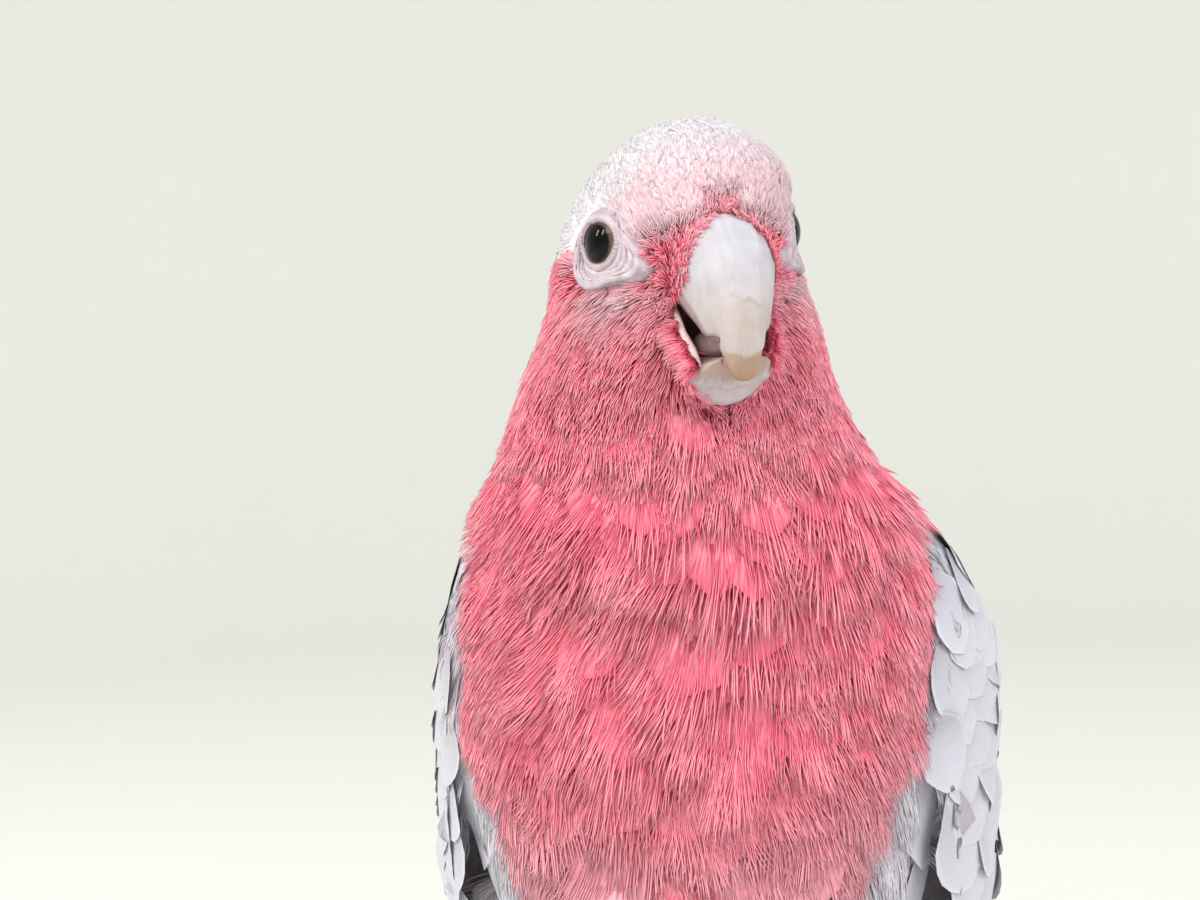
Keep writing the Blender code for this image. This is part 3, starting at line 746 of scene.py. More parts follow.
def swept(name, path, width, depth, segments=16, rings=28):
    """A sphere drawn out along a path in head axes, with its half width and half depth there."""
    deselect()
    bpy.ops.mesh.primitive_uv_sphere_add(segments=segments, ring_count=rings, radius=1)
    made = bpy.context.object
    made.name = made.data.name = name
    x, y, z = points_of(made).T
    share = 0.5 + np.arcsin(np.clip(z, -1, 1)) / np.pi
    round_ = np.minimum(1, np.sqrt(np.maximum(1 - z**2, 0)) * 1.6) / np.maximum(np.hypot(x, y), 1e-6)
    ahead_ = unit(at_share(np.gradient(path, axis=0), share))
    outward = unit(np.cross(ahead_, (0, 0.8, 0.6)))
    deep = np.cross(outward, ahead_)
    places = at_share(path, share) + outward * (x * round_ * width)[:, None]
    set_points(made, from_head(places + deep * (y * round_ * depth)[:, None]))
    bpy.ops.object.shade_smooth()
    return made


gape_material = clouded_material("moist_gape_skin", 600.0, "#C9A6A8", "#DCC4C0", 0.5)
# Outside the rim the cheek's skin is rose and matt.
cheek_material = clouded_material("rose_cheek_skin", 600.0, "#B02A48", "#C85A70", 0.8)
# The rim's middle line on the left, from the root of the bill down to the lower bill, in the head's axes.
GAPE = np.array(
    ((7.2, 15.0, -7.8), (7.1, 16.6, -9.6), (7.1, 17.8, -11.3), (7.0, 19.2, -13.1),
     (6.9, 20.6, -15.0), (6.5, 22.1, -16.9), (5.9, 23.1, -18.9), (5.2, 23.6, -20.7))
)
CHEEK_OFFSET = (0.9, -0.8, 0.0)
for label, side in SIDES.items():
    rim = swept(f"gape_rim_{label}", GAPE * (side, 1, 1), 0.66, 0.7)
    fold = swept(f"gape_fold_{label}", (GAPE + CHEEK_OFFSET) * (side, 1, 1), 0.95, 0.9)
    # The rim is bare on the bird's right; on its left the cheek's skin runs over it.
    rim_material = cheek_material if side > 0 else gape_material
    for piece, material, slot in ((rim, rim_material, "scaly_skin"), (fold, cheek_material, "rose_plumage")):
        piece.data.materials.append(material)
        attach(piece, "root")
print("gape:", round(float(np.linalg.norm(np.diff(GAPE, axis=0), axis=1).sum()), 1), "mm along each rim")

# %% Horn material
horn_material, tree, shader = new_material("bill_horn")
growth = node(tree, "UVMap", {"uv_map": "Growth"})
stretch = node(tree, "Mapping", Vector=growth, Scale=(1.0, 0.06, 1.0))
grain = node(tree, "TexNoise", Vector=stretch, Scale=46.0, Detail=4.0, Roughness=0.6)
cloud = node(tree, "TexNoise", Vector=(node(tree, "TexCoord"), "Object"), Scale=260.0, Detail=3.0)
hook = node(tree, "Attribute", {"attribute_name": "hook"})
inner = node(tree, "Attribute", {"attribute_name": "inner"})
covered = node(tree, "Attribute", {"attribute_name": "covered"})
base_to_tip = [(0.0, "#BCBBC3"), (0.3, "#BFBABE"), (0.55, "#BDB2AF"), (0.72, "#B7A89E"),
               (0.88, "#B19984"), (1.0, "#A4856C")]
horn = node(tree, "ValToRGB", stops=base_to_tip, Fac=(hook, "Fac"))
streaks = node(tree, "ValToRGB", stops=[(0.35, "#F1EFEE"), (0.62, "#FFFFFF")], Fac=grain)
clouds = node(tree, "ValToRGB", stops=[(0.3, "#E9E4E2"), (0.7, "#FFFFFF")], Fac=cloud)
streaked = node(tree, "Mix", MULTIPLIED, in0=0.45, in6=horn, in7=streaks)
clouded = node(tree, "Mix", MULTIPLIED, in0=0.8, in6=streaked, in7=clouds)
palate = node(tree, "Mix", COLOURS, in0=(inner, "Fac"), in6=clouded, in7=linear("#8C6A70"))
hidden = node(tree, "Mix", COLOURS, in0=(covered, "Fac"), in6=palate, in7=linear("#B4596B"))
relief = node(tree, "Bump", Strength=0.14, Distance=0.00010, Height=grain)
set_shader(
    tree, shader, hidden, relief, Roughness=0.42, Specular_IOR_Level=0.35,
    Subsurface_Weight=0.25, Subsurface_Radius=(0.003, 0.0018, 0.001), Subsurface_Scale=0.4,
)
for piece in (upper, lower):
    piece.data.materials.append(horn_material)

# %% Tongue
tongue = refined("tongue", ["tongue"], 0.3 * MM, 6)
tongue_material = clouded_material("moist_tongue", 500.0, "#A8868B", "#C4AAAC", 0.35)
tongue.data.materials.append(tongue_material)
print("tongue:", len(tongue.data.polygons), "faces")

# %% [markdown]
# ## Feet and claws
# The feet are bare and grey, with two toes forward and two back. Broad scutes run down the top of each
# toe and small round scales cover the rest; here all are small scales in relief. The claws are dark
# horn. Both keep the CAD shape, smoothed.

# %% Feet and claws
foot_material, tree, shader = new_material("scaly_foot_skin")
place = (node(tree, "TexCoord"), "Object")
scales = node(tree, "TexVoronoi", {"feature": "DISTANCE_TO_EDGE"}, Vector=place, Scale=620.0)
gaps = node(tree, "ValToRGB", stops=[(0.02, "#6A5F60"), (0.10, "#A1979A")], Fac=(scales, "Distance"))
tint = node(tree, "TexNoise", Vector=place, Scale=90.0, Detail=3.0)
tints = node(tree, "ValToRGB", stops=[(0.3, "#C9C0C2"), (0.7, "#FFFFFF")], Fac=tint)
tinted = node(tree, "Mix", MULTIPLIED, in0=0.7, in6=gaps, in7=tints)
domed = node(tree, "ValToRGB", stops=[(0.0, "#000000"), (0.16, "#FFFFFF")], Fac=(scales, "Distance"))
relief = node(tree, "Bump", Strength=0.6, Distance=0.0003, Height=domed)
set_shader(tree, shader, tinted, relief, Roughness=0.55)
claw_material = clouded_material("claw_horn", 700.0, "#3B3536", "#5C5455", 0.35)

for label in SIDES:
    foot = refined(f"toes_{label}", [f"foot_{label}"], 0.5 * MM, 4)
    foot.data.materials.append(foot_material)
    for toe in ("inner_front", "outer_front", "outer_back", "inner_back"):
        claw = refined(f"nail_{label}_{toe}", [f"claw_{label}_{toe}"], 0.25 * MM, 3)
        claw.data.materials.append(claw_material)
    print(f"toes_{label}:", len(foot.data.polygons), "faces, and 4 claws")

# %% [markdown]
# ## How a feather is built
# A feather lies along a centre line that follows the form: deep at its root, at the outline by its tip,
# so that each overlaps the next like a roof tile. Soft body feathers are fans of barbs that come apart
# at the tip, each a thin three-sided spike; firm wing and tail feathers are closed vanes with a shaft.
# Thousands are needed, and modelling each by hand would be the same work over again, so arrays make
# them and one mesh holds a whole region. Each keeps its tone and how far along it a point lies as
# attributes, a soft one its markings too, and its own small patch in the map that the bake uses. On a
# soft feather the along value also carries painted shade: it is lowered on the barbs' sides and the vane's
# rim.


# %% Feather engine: centre lines
rng = np.random.default_rng(61)


def staggered(hits, row, pitch):
    """How far along a line of points each lies, and the places of the roots of a row there, in mm."""
    reach = np.concatenate([[0], np.cumsum(np.linalg.norm(np.diff(hits, axis=0), axis=1))]) / MM
    count = max(1, int(reach[-1] / pitch))
    return reach, (np.arange(count) + 0.25 + 0.5 * (row % 2)) / count * reach[-1]


def spread_rows(form, start, end, gap, pitch, low, high, jitter=0.28):
    """Lengths and angles in staggered rows along the body, pitch apart round it, in millimetres."""
    ring = np.radians(np.linspace(low, high, 60))
    found = []
    for row, s in enumerate(np.arange(start, end, gap)):
        hits, _ = form.outer(np.full(len(ring), s), ring)
        reach, places = staggered(hits, row, pitch)
        places = places + rng.uniform(-jitter, jitter, len(places)) * pitch
        angle = np.interp(places, reach, ring)
        found.append(np.stack([s + rng.uniform(-jitter, jitter, len(places)) * gap, angle], -1))
    return np.concatenate(found).T


def lines_round(form, s, angle, length, lean, lift_root, lift_tip, stations=4, rise=1.0):
    """Centre lines that run along the body. lean is their slant in radians; lifts are in metres."""
    count = len(s)
    radius = np.linalg.norm(form.outer(s, angle)[0] - section(s)[0], axis=1) / MM
    share = np.linspace(0, 1, stations)
    lines, normals = np.empty((count, stations, 3)), np.empty((count, stations, 3))
    for k, t in enumerate(share):
        here = np.minimum(s + length * t * np.cos(lean), LINE_END - 1)
        turned = angle + length * t * np.sin(lean) / np.maximum(radius, 8)
        hits, normal = form.outer(here, turned)
        lift = lift_root + (lift_tip - lift_root) * t**rise
        lines[:, k] = hits + normal * lift[:, None]
        normals[:, k] = normal
    return lines, normals


def lines_near(form, places, heading, length, lift_root, lift_tip, stations=3):
    """Centre lines that set off along a heading and hug the form, for the head. Lengths in metres."""
    count = len(places)
    lines, normals = np.empty((count, stations, 3)), np.empty((count, stations, 3))
    here, course = places.copy(), heading.copy()
    for k in range(stations):
        for f in range(count):
            hit, normal = form.near(here[f])
            here[f], normals[f, k] = hit, normal
        normal = normals[:, k]
        course = unit(course - (course * normal).sum(1)[:, None] * normal)
        lift = lift_root + (lift_tip - lift_root) * k / (stations - 1)
        lines[:, k] = here + normal * lift[:, None]
        here = here + course * (length / (stations - 1))[:, None]
    return lines, normals


def along(values, share):
    """Catmull-Rom interpolation of values (feather, station, 3) at share (feather, point)."""
    stations = values.shape[1]
    at = np.clip(share, 0, 1) * (stations - 1)
    i = np.minimum(at.astype(int), stations - 2)
    t = (at - i)[..., None]
    rows = np.arange(len(values))[:, None]
    a, b, c, d = (values[rows, np.clip(i + k, 0, stations - 1)] for k in (-1, 0, 1, 2))
    return 0.5 * (2 * b + (c - a) * t + (2 * a - 5 * b + 4 * c - d) * t**2 + (3 * b - a - 3 * c + d) * t**3)


def placed(lines, normals, across, share, height):
    """World places of feather points given across and height in metres and share of the length."""
    centre = along(lines, share)
    ahead_ = unit(along(lines, share + 0.02) - along(lines, share - 0.02) + 1e-9)
    normal = unit(along(normals, share))
    sideways = unit(np.cross(ahead_, normal))
    lifted = np.cross(sideways, ahead_)
    return centre + sideways * across[..., None] + lifted * height[..., None], lifted


# %% Feather engine: one mesh for a region
PATCH = 0.003  # side of a feather's own patch in the bake's map
coat = []


def wear(feathers, material):
    """Adds a finished region of feathers to the coat."""
    feathers.data.materials.append(material)
    coat.append(feathers)


def shade_as_sheet(mesh, towards, share):
    """Turns the shading of the faces that look outwards towards the sheet they lie in, by a share."""
    loops = np.empty(len(mesh.loops), np.int32)
    mesh.loops.foreach_get("vertex_index", loops)
    own = np.empty(len(mesh.loops) * 3, np.float32)
    mesh.corner_normals.foreach_get("vector", own)
    faces_ = np.empty(len(mesh.polygons) * 3, np.float32)
    mesh.polygons.foreach_get("normal", faces_)
    totals = np.empty(len(mesh.polygons), np.int32)
    mesh.polygons.foreach_get("loop_total", totals)
    faces_ = np.repeat(faces_.reshape(-1, 3), totals, 0)
    own, sheet = own.reshape(-1, 3), towards.reshape(-1, 3)[loops]
    outside = step((faces_ * sheet).sum(1), 0.0, 0.25)[:, None]
    mesh.normals_split_custom_set(unit(own * (1 - share * outside) + sheet * share * outside))


def feather_mesh(name, points, faces, roots, local, values, towards, share):
    """Joins feathers into one object.

    points is (feather, point, 3) and faces the template's faces, a list of tuples. roots gives each
    feather's (length, angle), local each point's place in its own patch from 0 to 1, and values the
    attributes, each (feather, point).
    """
    count, size = points.shape[:2]
    corners = np.concatenate([np.array(face) for face in faces])
    sizes = np.array([len(face) for face in faces])
    offset = np.arange(count)[:, None] * size
    loops = (corners[None] + offset).ravel()
    totals = np.tile(sizes, count)
    mesh = bpy.data.meshes.new(name)
    mesh.vertices.add(count * size)
    mesh.vertices.foreach_set("co", points.astype(np.float32).ravel())
    mesh.loops.add(len(loops))
    mesh.loops.foreach_set("vertex_index", loops.astype(np.int32))
    mesh.polygons.add(len(totals))
    starts = np.concatenate([[0], np.cumsum(totals)[:-1]])
    mesh.polygons.foreach_set("loop_start", starts.astype(np.int32))
    mesh.polygons.foreach_set("loop_total", totals.astype(np.int32))
    mesh.update(calc_edges=True)
    for key, value in values.items():
        set_attribute(mesh, key, np.broadcast_to(value, (count, size)).ravel())
    s, angle = roots
    root = np.stack([0.5 + angle / (2 * np.pi) * 0.98, 0.01 + 0.98 * s / LINE_END], -1)
    patch = root[:, None] + (local - 0.5) * PATCH
    bake = mesh.uv_layers.new(name="OFBake")
    bake.data.foreach_set("uv", patch.reshape(-1, 2)[loops].astype(np.float32).ravel())
    vane = mesh.uv_layers.new(name="Vane")
    vane.data.foreach_set("uv", local.reshape(-1, 2)[loops].astype(np.float32).ravel())
    mesh.validate()
    mesh.polygons.foreach_set("use_smooth", np.ones(len(mesh.polygons), bool))
    shade_as_sheet(mesh, towards, share)
    obj = bpy.data.objects.new(name, mesh)
    scene.collection.objects.link(obj)
    print(f"{name}: {count} feathers, {int((sizes - 2).sum()) * count} triangles")
    return obj


# %% [markdown]
# ### Soft feathers
# A body feather's barbs leave the shaft low down and end on a rounded tip. Near the tip they gather in
# little locks and part again, which is what gives a breast its combed look. Each barb is a spike of
# three rings and a point, bent once. Real barbs are 0.1 mm apart; these stand for the locks of three or
# four that the eye can make out, about a third of a millimetre wide.


# %% Soft feathers
BARB_POINTS = 10  # three rings of three, and the tip


def barb_faces(barbs):
    """Faces of closed three-sided spikes with three rings and a point."""
    faces = []
    for b in range(barbs):
        o = b * BARB_POINTS
        faces.append((o + 2, o + 1, o))
        for ring in (0, 3):
            for k in range(3):
                n = (k + 1) % 3
                faces.append((o + ring + k, o + ring + n, o + ring + 3 + n, o + ring + 3 + k))
        faces += [(o + 6 + k, o + 6 + (k + 1) % 3, o + 9) for k in range(3)]
    return faces


def vane_faces(columns, rows):
    """Faces of a closed vane: a top grid, and an under grid that shares the rim."""
    def top(i, j):
        return j * columns + i

    inner = {}
    index = columns * rows
    for j in range(1, rows - 1):
        for i in range(1, columns - 1):
            inner[(i, j)] = index
            index += 1

    def under(i, j):
        return inner.get((i, j), top(i, j))

    faces = []
    for j in range(rows - 1):
        for i in range(columns - 1):
            faces.append((top(i, j), top(i + 1, j), top(i + 1, j + 1), top(i, j + 1)))
            faces.append((under(i, j), under(i, j + 1), under(i + 1, j + 1), under(i + 1, j)))
    return faces


def soft_feathers(name, lines, normals, roots, length, width, barbs, thick, tone=0.4, ragged=0.12,
                  begin=0.3, locks=6, splay=0.2, crown=0.05, vane=0.80, grid=(7, 6), frizz=0.07 * MM,
                  ribs=1.0, sheet=0.22 * MM, fade=1.0, sheen=0.7, grey_least=0.0, proud=0.08 * MM,
                  marked=-1):
    """Fans of barbs, over a closed vane that ends at a share of the length. Sizes are in metres.

    marked is the station along each centre line where the feather reads its markings.
    """
    count = len(lines)
    length, width = np.broadcast_to(length, count), np.broadcast_to(width, count)
    place = np.linspace(-1, 1, barbs)[None] + rng.uniform(-0.6, 0.6, (count, barbs)) / barbs
    which = np.round((place * 0.5 + 0.5) * locks + rng.uniform(-0.5, 0.5, (count, 1)))
    lock = which / locks * 2 - 1
    pull = rng.uniform(0.0, 0.6, (count, barbs))
    sway = np.take_along_axis(rng.normal(0, 0.09, (count, locks + 4)), (which + 1).astype(int), 1)
    tip_place = place + (lock - place) * pull * 0.8
    # Path of each barb: its foot by the shaft, a knee, and its tip on the feather's rounded end.
    foot_share = begin + 0.25 * (1 - np.abs(place)) * (vane > 0) + rng.uniform(-0.05, 0.05, (count, barbs))
    end_share = 1 - 0.28 * np.abs(place) ** 2.2 - rng.uniform(0, ragged, (count, barbs))
    rise = rng.normal(0, 1, (count, barbs)) * frizz
    dome = crown * (1 - place**2)
    bend = rng.normal(0, 0.04, (count, barbs)) + sway
    q = np.array([0.0, 0.42, 0.76, 1.0])
    start_u, end_u = place * 0.5, tip_place * (1 + splay * np.abs(tip_place))
    knee_u = place * 0.9 + bend
    u = ((1 - q) ** 2)[None, None] * start_u[..., None] + (2 * q * (1 - q)) * knee_u[..., None]
    u = u + (q**2) * end_u[..., None]
    wave = rng.normal(0, 0.04, (count, barbs, 1)) * np.sin(q * 6 + rng.uniform(0, 6, (count, 1, 1)))
    u = (u + wave) * width[:, None, None] / 2
    v = foot_share[..., None] + (end_share - foot_share)[..., None] * (q * (1.2 - 0.2 * q))
    w = rise[..., None] * (0.2 + q) + (dome * width[:, None])[..., None] + proud
    half = thick * np.array([0.42, 0.54, 0.46, 0.0]) * rng.uniform(0.75, 1.2, (count, barbs))[..., None]
    across = np.empty((count, barbs, BARB_POINTS))
    share, height, painted_side_shade = np.empty_like(across), np.empty_like(across), np.ones_like(across)
    # Painted shade: the two lower corners of each ring count half as far along, so that a barb's sides are
    # darker than its top.
    for ring in range(3):
        for k, (side, top) in enumerate(((-1, 0), (1, 0), (0, 1))):
            painted_side_shade[..., ring * 3 + k] = 1 if top else 0.5
            across[..., ring * 3 + k] = u[..., ring] + side * half[..., ring]
            share[..., ring * 3 + k] = v[..., ring]
            height[..., ring * 3 + k] = w[..., ring] + (top * 1.3 - 0.4) * half[..., ring]
    across[..., 9], share[..., 9], height[..., 9] = u[..., 3], v[..., 3], w[..., 3]
    grain = np.broadcast_to(rng.uniform(-0.5, 0.5, (count, barbs, 1)), across.shape)
    flat = (count, barbs * BARB_POINTS)
    across, share, height, grain, painted_side_shade = (x.reshape(flat) for x in (across, share, height, grain, painted_side_shade))
    faces = barb_faces(barbs)
    # depth is the share along the barb, lowered on its sides by the painted side shade.
    depth = np.clip((share - begin) / (1 - begin), 0, 1) * painted_side_shade
    if vane > 0:
        columns, rows = grid
        i, t = np.linspace(-1, 1, columns), np.linspace(0, 1, rows)
        outline = (0.45 + 0.55 * step(t, 0, 0.45)) * np.clip((1 - t) / 0.3, 0, 1) ** 0.5
        grid_u = (i[None] * np.maximum(outline, 0.05)[:, None] * 0.9).ravel()
        grid_v = np.repeat(t * vane, columns)
        grid_w = crown * (1 - grid_u**2) - 0.012 * grid_v
        # Painted shade: the vane is darker near its rim, where it shows through the gaps between locks.
        rim = np.maximum(step(grid_v, 0.6 * vane, vane), 0.7 * step(np.tile(np.abs(i), rows), 0.5, 1.0))
        vane_depth_and_painted_rim_shade = (0.50 + 0.42 * grid_v) * (1 - 0.7 * rim)
        inner = [b * columns + a for b in range(1, rows - 1) for a in range(1, columns - 1)]
        order = np.concatenate([np.arange(columns * rows), inner])
        under = (np.arange(len(order)) >= columns * rows) * sheet
        across = np.concatenate([across, grid_u[order][None] * width[:, None] / 2], 1)
        share = np.concatenate([share, np.broadcast_to(grid_v[order], (count, len(order)))], 1)
        height = np.concatenate([height, grid_w[order][None] * width[:, None] - under[None]], 1)
        grain = np.concatenate([grain, np.zeros((count, len(order)))], 1)
        depth = np.concatenate([depth, np.broadcast_to(vane_depth_and_painted_rim_shade[order], (count, len(order)))], 1)
        faces += [tuple(c + flat[1] for c in face) for face in vane_faces(columns, rows)]
    points, towards = placed(lines, normals, across, share, height)
    rose, grey = markings(lines[:, marked])
    grey = np.maximum(grey, grey_least)
    local = np.stack([across / width[:, None] + 0.5, share], -1)
    values = {
        "tone": grain + rng.uniform(-1, 1, (count, 1)) * tone,
        "along": depth**fade,
        "ribbed": np.broadcast_to(ribs * (np.arange(points.shape[1]) >= flat[1]), depth.shape),
        "rose": rose[:, None],
        "grey": grey[:, None],
    }
    return feather_mesh(name, points, faces, roots, np.clip(local, 0, 1), values, towards, sheen)


# %% [markdown]
# ### Firm feathers
# A covert, flight or tail feather is a smooth closed vane. The columns of its grid lie closer at the
# edges, where it curls down a little, and the shaft stands proud as a ridge. Its outline ends on a
# power: a low one rounds a covert, and a higher one draws out a primary.


# %% Firm feathers
def firm_feathers(name, lines, normals, roots, width, columns=7, rows=8, blunt=0.55, cup=0.035,
                  thick=0.10 * MM, shaft=0.10 * MM, tone=0.35, dark=0.0, one_sided=0.0):
    """Closed vanes. one_sided moves the shaft towards an edge, as on a flight feather."""
    count = len(lines)
    width = np.broadcast_to(width, count)
    i = np.linspace(-1, 1, columns)
    across_top = np.sign(i) * np.abs(i) ** 0.8
    t = np.linspace(0, 1, rows) ** 0.85
    rim = np.clip(t / 0.30, 0, 1) ** 0.6 * 0.62 + 0.38 * step(t, 0.0, 0.55)
    end = np.clip((1 - t) / 0.34, 0, 1) ** blunt
    outline = np.maximum(rim * end, 0.04)
    grid_u = across_top[None] * outline[:, None]
    grid_v = np.repeat(t[:, None], columns, 1) - 0.03 * (grid_u**2) * (t[:, None] > 0.5)
    grid_w = -cup * grid_u**2
    ridge = np.exp(-((across_top - one_sided) / 0.22) ** 2)[None] * (1 - t)[:, None] ** 0.5
    inner = [(a, b) for b in range(1, rows - 1) for a in range(1, columns - 1)]
    rows_in, columns_in = [b for _, b in inner], [a for a, _ in inner]
    u = np.concatenate([grid_u.ravel(), grid_u[rows_in, columns_in]])
    v = np.concatenate([grid_v.ravel(), grid_v[rows_in, columns_in]])
    w = np.concatenate([grid_w.ravel(), grid_w[rows_in, columns_in]])
    lift = np.concatenate([(ridge * shaft).ravel(), np.full(len(inner), -thick)])
    wave = rng.normal(0, 0.02, (count, 1)) * np.sin(v * 5 + rng.uniform(0, 6, (count, 1)))
    across = (u[None] + wave) * width[:, None] / 2
    share = np.broadcast_to(v, (count, len(v)))
    height = w[None] * width[:, None] + lift[None]
    points, towards = placed(lines, normals, across, share, height)
    local = np.stack([across / width[:, None] + 0.5, np.array(share)], -1)
    values = {
        "tone": np.repeat(rng.uniform(-1, 1, (count, 1)) * tone, len(v), 1),
        "along": np.array(share),
        "edge": np.broadcast_to(np.abs(u) / np.interp(v, t, outline), share.shape),
        "dark": np.full(share.shape, dark),
    }
    return feather_mesh(
        name, points, vane_faces(columns, rows), roots, np.clip(local, 0, 1), values, towards, 0.8
    )


# %% [markdown]
# ## Feather materials
# Feather is dry keratin, so it is matt with a soft sheen across the grain. A rose barb is deep at its
# foot and pale at its tip, and its lower sides carry painted shade; with the real shadow between barbs
# this shows as fine dark lines between pale ones. The rim of a soft vane carries painted shade too, for
# the gaps between locks. The grey of wing and back is a bloom over darker barbs, ribbed every third of a
# millimetre; drawn at 0.5 mm on the coverts, the finest that still shows, and coarser on the long feathers.

# %% Soft plumage material
soft_material, tree, shader = new_material("soft_barbed_feather")
# along runs from a barb's foot to its tip, and is lowered as painted shade on barb sides and vane rims.
along_ = (node(tree, "Attribute", {"attribute_name": "along"}), "Fac")
rose_stops = [(0.0, "#BC2244"), (0.45, "#EC7A90"), (1.0, "#FABEC8")]
white_stops = [(0.0, "#C9BFC4"), (0.4, "#CBCACE"), (1.0, "#CFCFD3")]
grey_stops = [(0.0, "#9A98A1"), (0.5, "#C4C3CD"), (1.0, "#E4E3EB")]
rose_barb, white_barb, grey_barb = (
    node(tree, "ValToRGB", stops=stops, Fac=along_) for stops in (rose_stops, white_stops, grey_stops)
)
rose = node(tree, "Attribute", {"attribute_name": "rose"})
grey = node(tree, "Attribute", {"attribute_name": "grey"})
coloured = node(tree, "Mix", COLOURS, in0=(rose, "Fac"), in6=white_barb, in7=rose_barb)
greyed = node(tree, "Mix", COLOURS, in0=(grey, "Fac"), in6=coloured, in7=grey_barb)
tone = (node(tree, "Attribute", {"attribute_name": "tone"}), "Fac")
value = node(tree, "MapRange", Value=tone, From_Min=-1.0, From_Max=1.0, To_Min=0.86, To_Max=1.12)
toned = node(tree, "HueSaturation", Color=greyed, Value=value)
# Barb lines on the vane: they leave the shaft aslant and run out to the tip.
split = node(tree, "SeparateXYZ", Vector=node(tree, "UVMap", {"uv_map": "Vane"}))
off_shaft = node(tree, "Math", {"operation": "SUBTRACT"}, in0=(split, "X"), in1=0.5)
taper = node(tree, "MapRange", Value=(split, "Y"), From_Min=0.0, From_Max=1.0, To_Min=260.0, To_Max=110.0)
waves = node(tree, "Math", {"operation": "MULTIPLY"}, in0=off_shaft, in1=taper)
lines_ = node(tree, "Math", {"operation": "SINE"}, in0=waves)
ribbed = node(tree, "Attribute", {"attribute_name": "ribbed"})
on_vane = node(tree, "Math", {"operation": "MULTIPLY"}, in0=lines_, in1=(ribbed, "Fac"))
relief = node(tree, "Bump", Strength=0.5, Distance=0.00015, Height=on_vane)
set_shader(tree, shader, toned, relief, Roughness=0.75, Specular_IOR_Level=0.25)

# %% Firm plumage material
firm_material, tree, shader = new_material("vaned_feather")
split = node(tree, "SeparateXYZ", Vector=node(tree, "UVMap", {"uv_map": "Vane"}))
half = node(tree, "Math", {"operation": "SUBTRACT"}, in0=(split, "X"), in1=0.5)
away = node(tree, "Math", {"operation": "ABSOLUTE"}, in0=half)
slant = node(tree, "Math", {"operation": "MULTIPLY_ADD"}, in0=away, in1=-0.7, in2=(split, "Y"))
bars = node(tree, "Math", {"operation": "MULTIPLY"}, in0=slant, in1=210.0)
ribs = node(tree, "Math", {"operation": "SINE"}, in0=bars)
along_ = (node(tree, "Attribute", {"attribute_name": "along"}), "Fac")
edge = (node(tree, "Attribute", {"attribute_name": "edge"}), "Fac")
dark = (node(tree, "Attribute", {"attribute_name": "dark"}), "Fac")
tone = (node(tree, "Attribute", {"attribute_name": "tone"}), "Fac")
pale = node(tree, "ValToRGB", stops=[(0.0, "#A6A5AF"), (0.55, "#BDBCC7"), (1.0, "#CAC9D4")], Fac=along_)
deep = node(tree, "ValToRGB", stops=[(0.0, "#6E6C73"), (0.6, "#89878F"), (1.0, "#77757C")], Fac=along_)
fringe = node(tree, "ValToRGB", stops=[(0.80, "#000000"), (0.93, "#FFFFFF"), (1.0, "#C0C0C0")], Fac=edge)
fringe_share = node(tree, "Math", {"operation": "MULTIPLY"}, in0=fringe, in1=0.25)
grey_vane = node(tree, "Mix", COLOURS, in0=dark, in6=pale, in7=deep)
fringed = node(tree, "Mix", COLOURS, in0=fringe_share, in6=grey_vane, in7=linear("#E9E8EE"))
value = node(tree, "MapRange", Value=tone, From_Min=-1.0, From_Max=1.0, To_Min=0.88, To_Max=1.1)
ribbed = node(tree, "MapRange", Value=ribs, From_Min=-1.0, From_Max=1.0, To_Min=0.965, To_Max=1.02)
both = node(tree, "Math", {"operation": "MULTIPLY"}, in0=value, in1=ribbed)
toned = node(tree, "HueSaturation", Color=fringed, Value=both)
relief = node(tree, "Bump", Strength=0.25, Distance=0.0001, Height=ribs)
set_shader(tree, shader, toned, relief, Roughness=0.6, Sheen_Weight=0.15)

# %% [markdown]
# ## Face and crown
# The feathers of the head are a few millimetres long and point away from the bill: up over the forehead,
# back round the eye, out and down over the cheeks. They are thrown over the head at random, closer
# together where they are short. Each is a tuft of eight fine barbs, or of six right round the bill.

# %% Roots thrown over a form
def scattered(form, spacing_of, keep_of, tries=5.0):
    """Random roots on a form, none nearer to another than the spacing there, in metres."""
    mesh = form.obj.data
    corners = np.empty(len(mesh.loop_triangles) * 3, np.int32)
    mesh.loop_triangles.foreach_get("vertices", corners)
    a, b, c = (form.points[corners.reshape(-1, 3)[:, k]] for k in range(3))
    middle_ = (a + b + c) / 3
    wanted = keep_of(middle_)
    a, b, c, middle_ = a[wanted], b[wanted], c[wanted], middle_[wanted]
    area = np.linalg.norm(np.cross(b - a, c - a), axis=1) / 2
    chance = area / spacing_of(middle_) ** 2
    count = int(chance.sum() * tries)
    chosen = rng.choice(len(area), count, p=chance / chance.sum())
    p, q = rng.random((2, count, 1))
    p, q = np.where(p + q > 1, 1 - p, p), np.where(p + q > 1, 1 - q, q)
    places = a[chosen] + (b - a)[chosen] * p + (c - a)[chosen] * q
    places = places[keep_of(places)]
    spacing = spacing_of(places)
    neighbours = kdtree.KDTree(len(places))
    for k, place in enumerate(places):
        neighbours.insert(place, k)
    neighbours.balance()
    alive = np.ones(len(places), bool)
    for k, place in enumerate(places):
        if alive[k]:
            for _, other, _ in neighbours.find_range(place, spacing[k]):
                if other > k:
                    alive[other] = False
    return places[alive]


# %% Which way head feathers lie
BILL_ROOT = np.array((0.0, 15.0, -9.0))


def from_bill(places):
    return np.linalg.norm(to_head(places) - BILL_ROOT, axis=1)


def head_course(places):
    """The heading of a feather rooted at these places, before it is laid on the surface."""
    local = to_head(places)
    _, forward, up_ = local.T
    course = unit(local - BILL_ROOT)
    course[:, 2] -= 0.9 * step(forward, 5, -16) + 0.55 * step(up_, 0, -14) + 0.8 * step(up_, -14, -30)
    course[:, 1] *= 1 - 0.5 * step(up_, -10, -25)
    return unit(course) @ HEAD_AXES


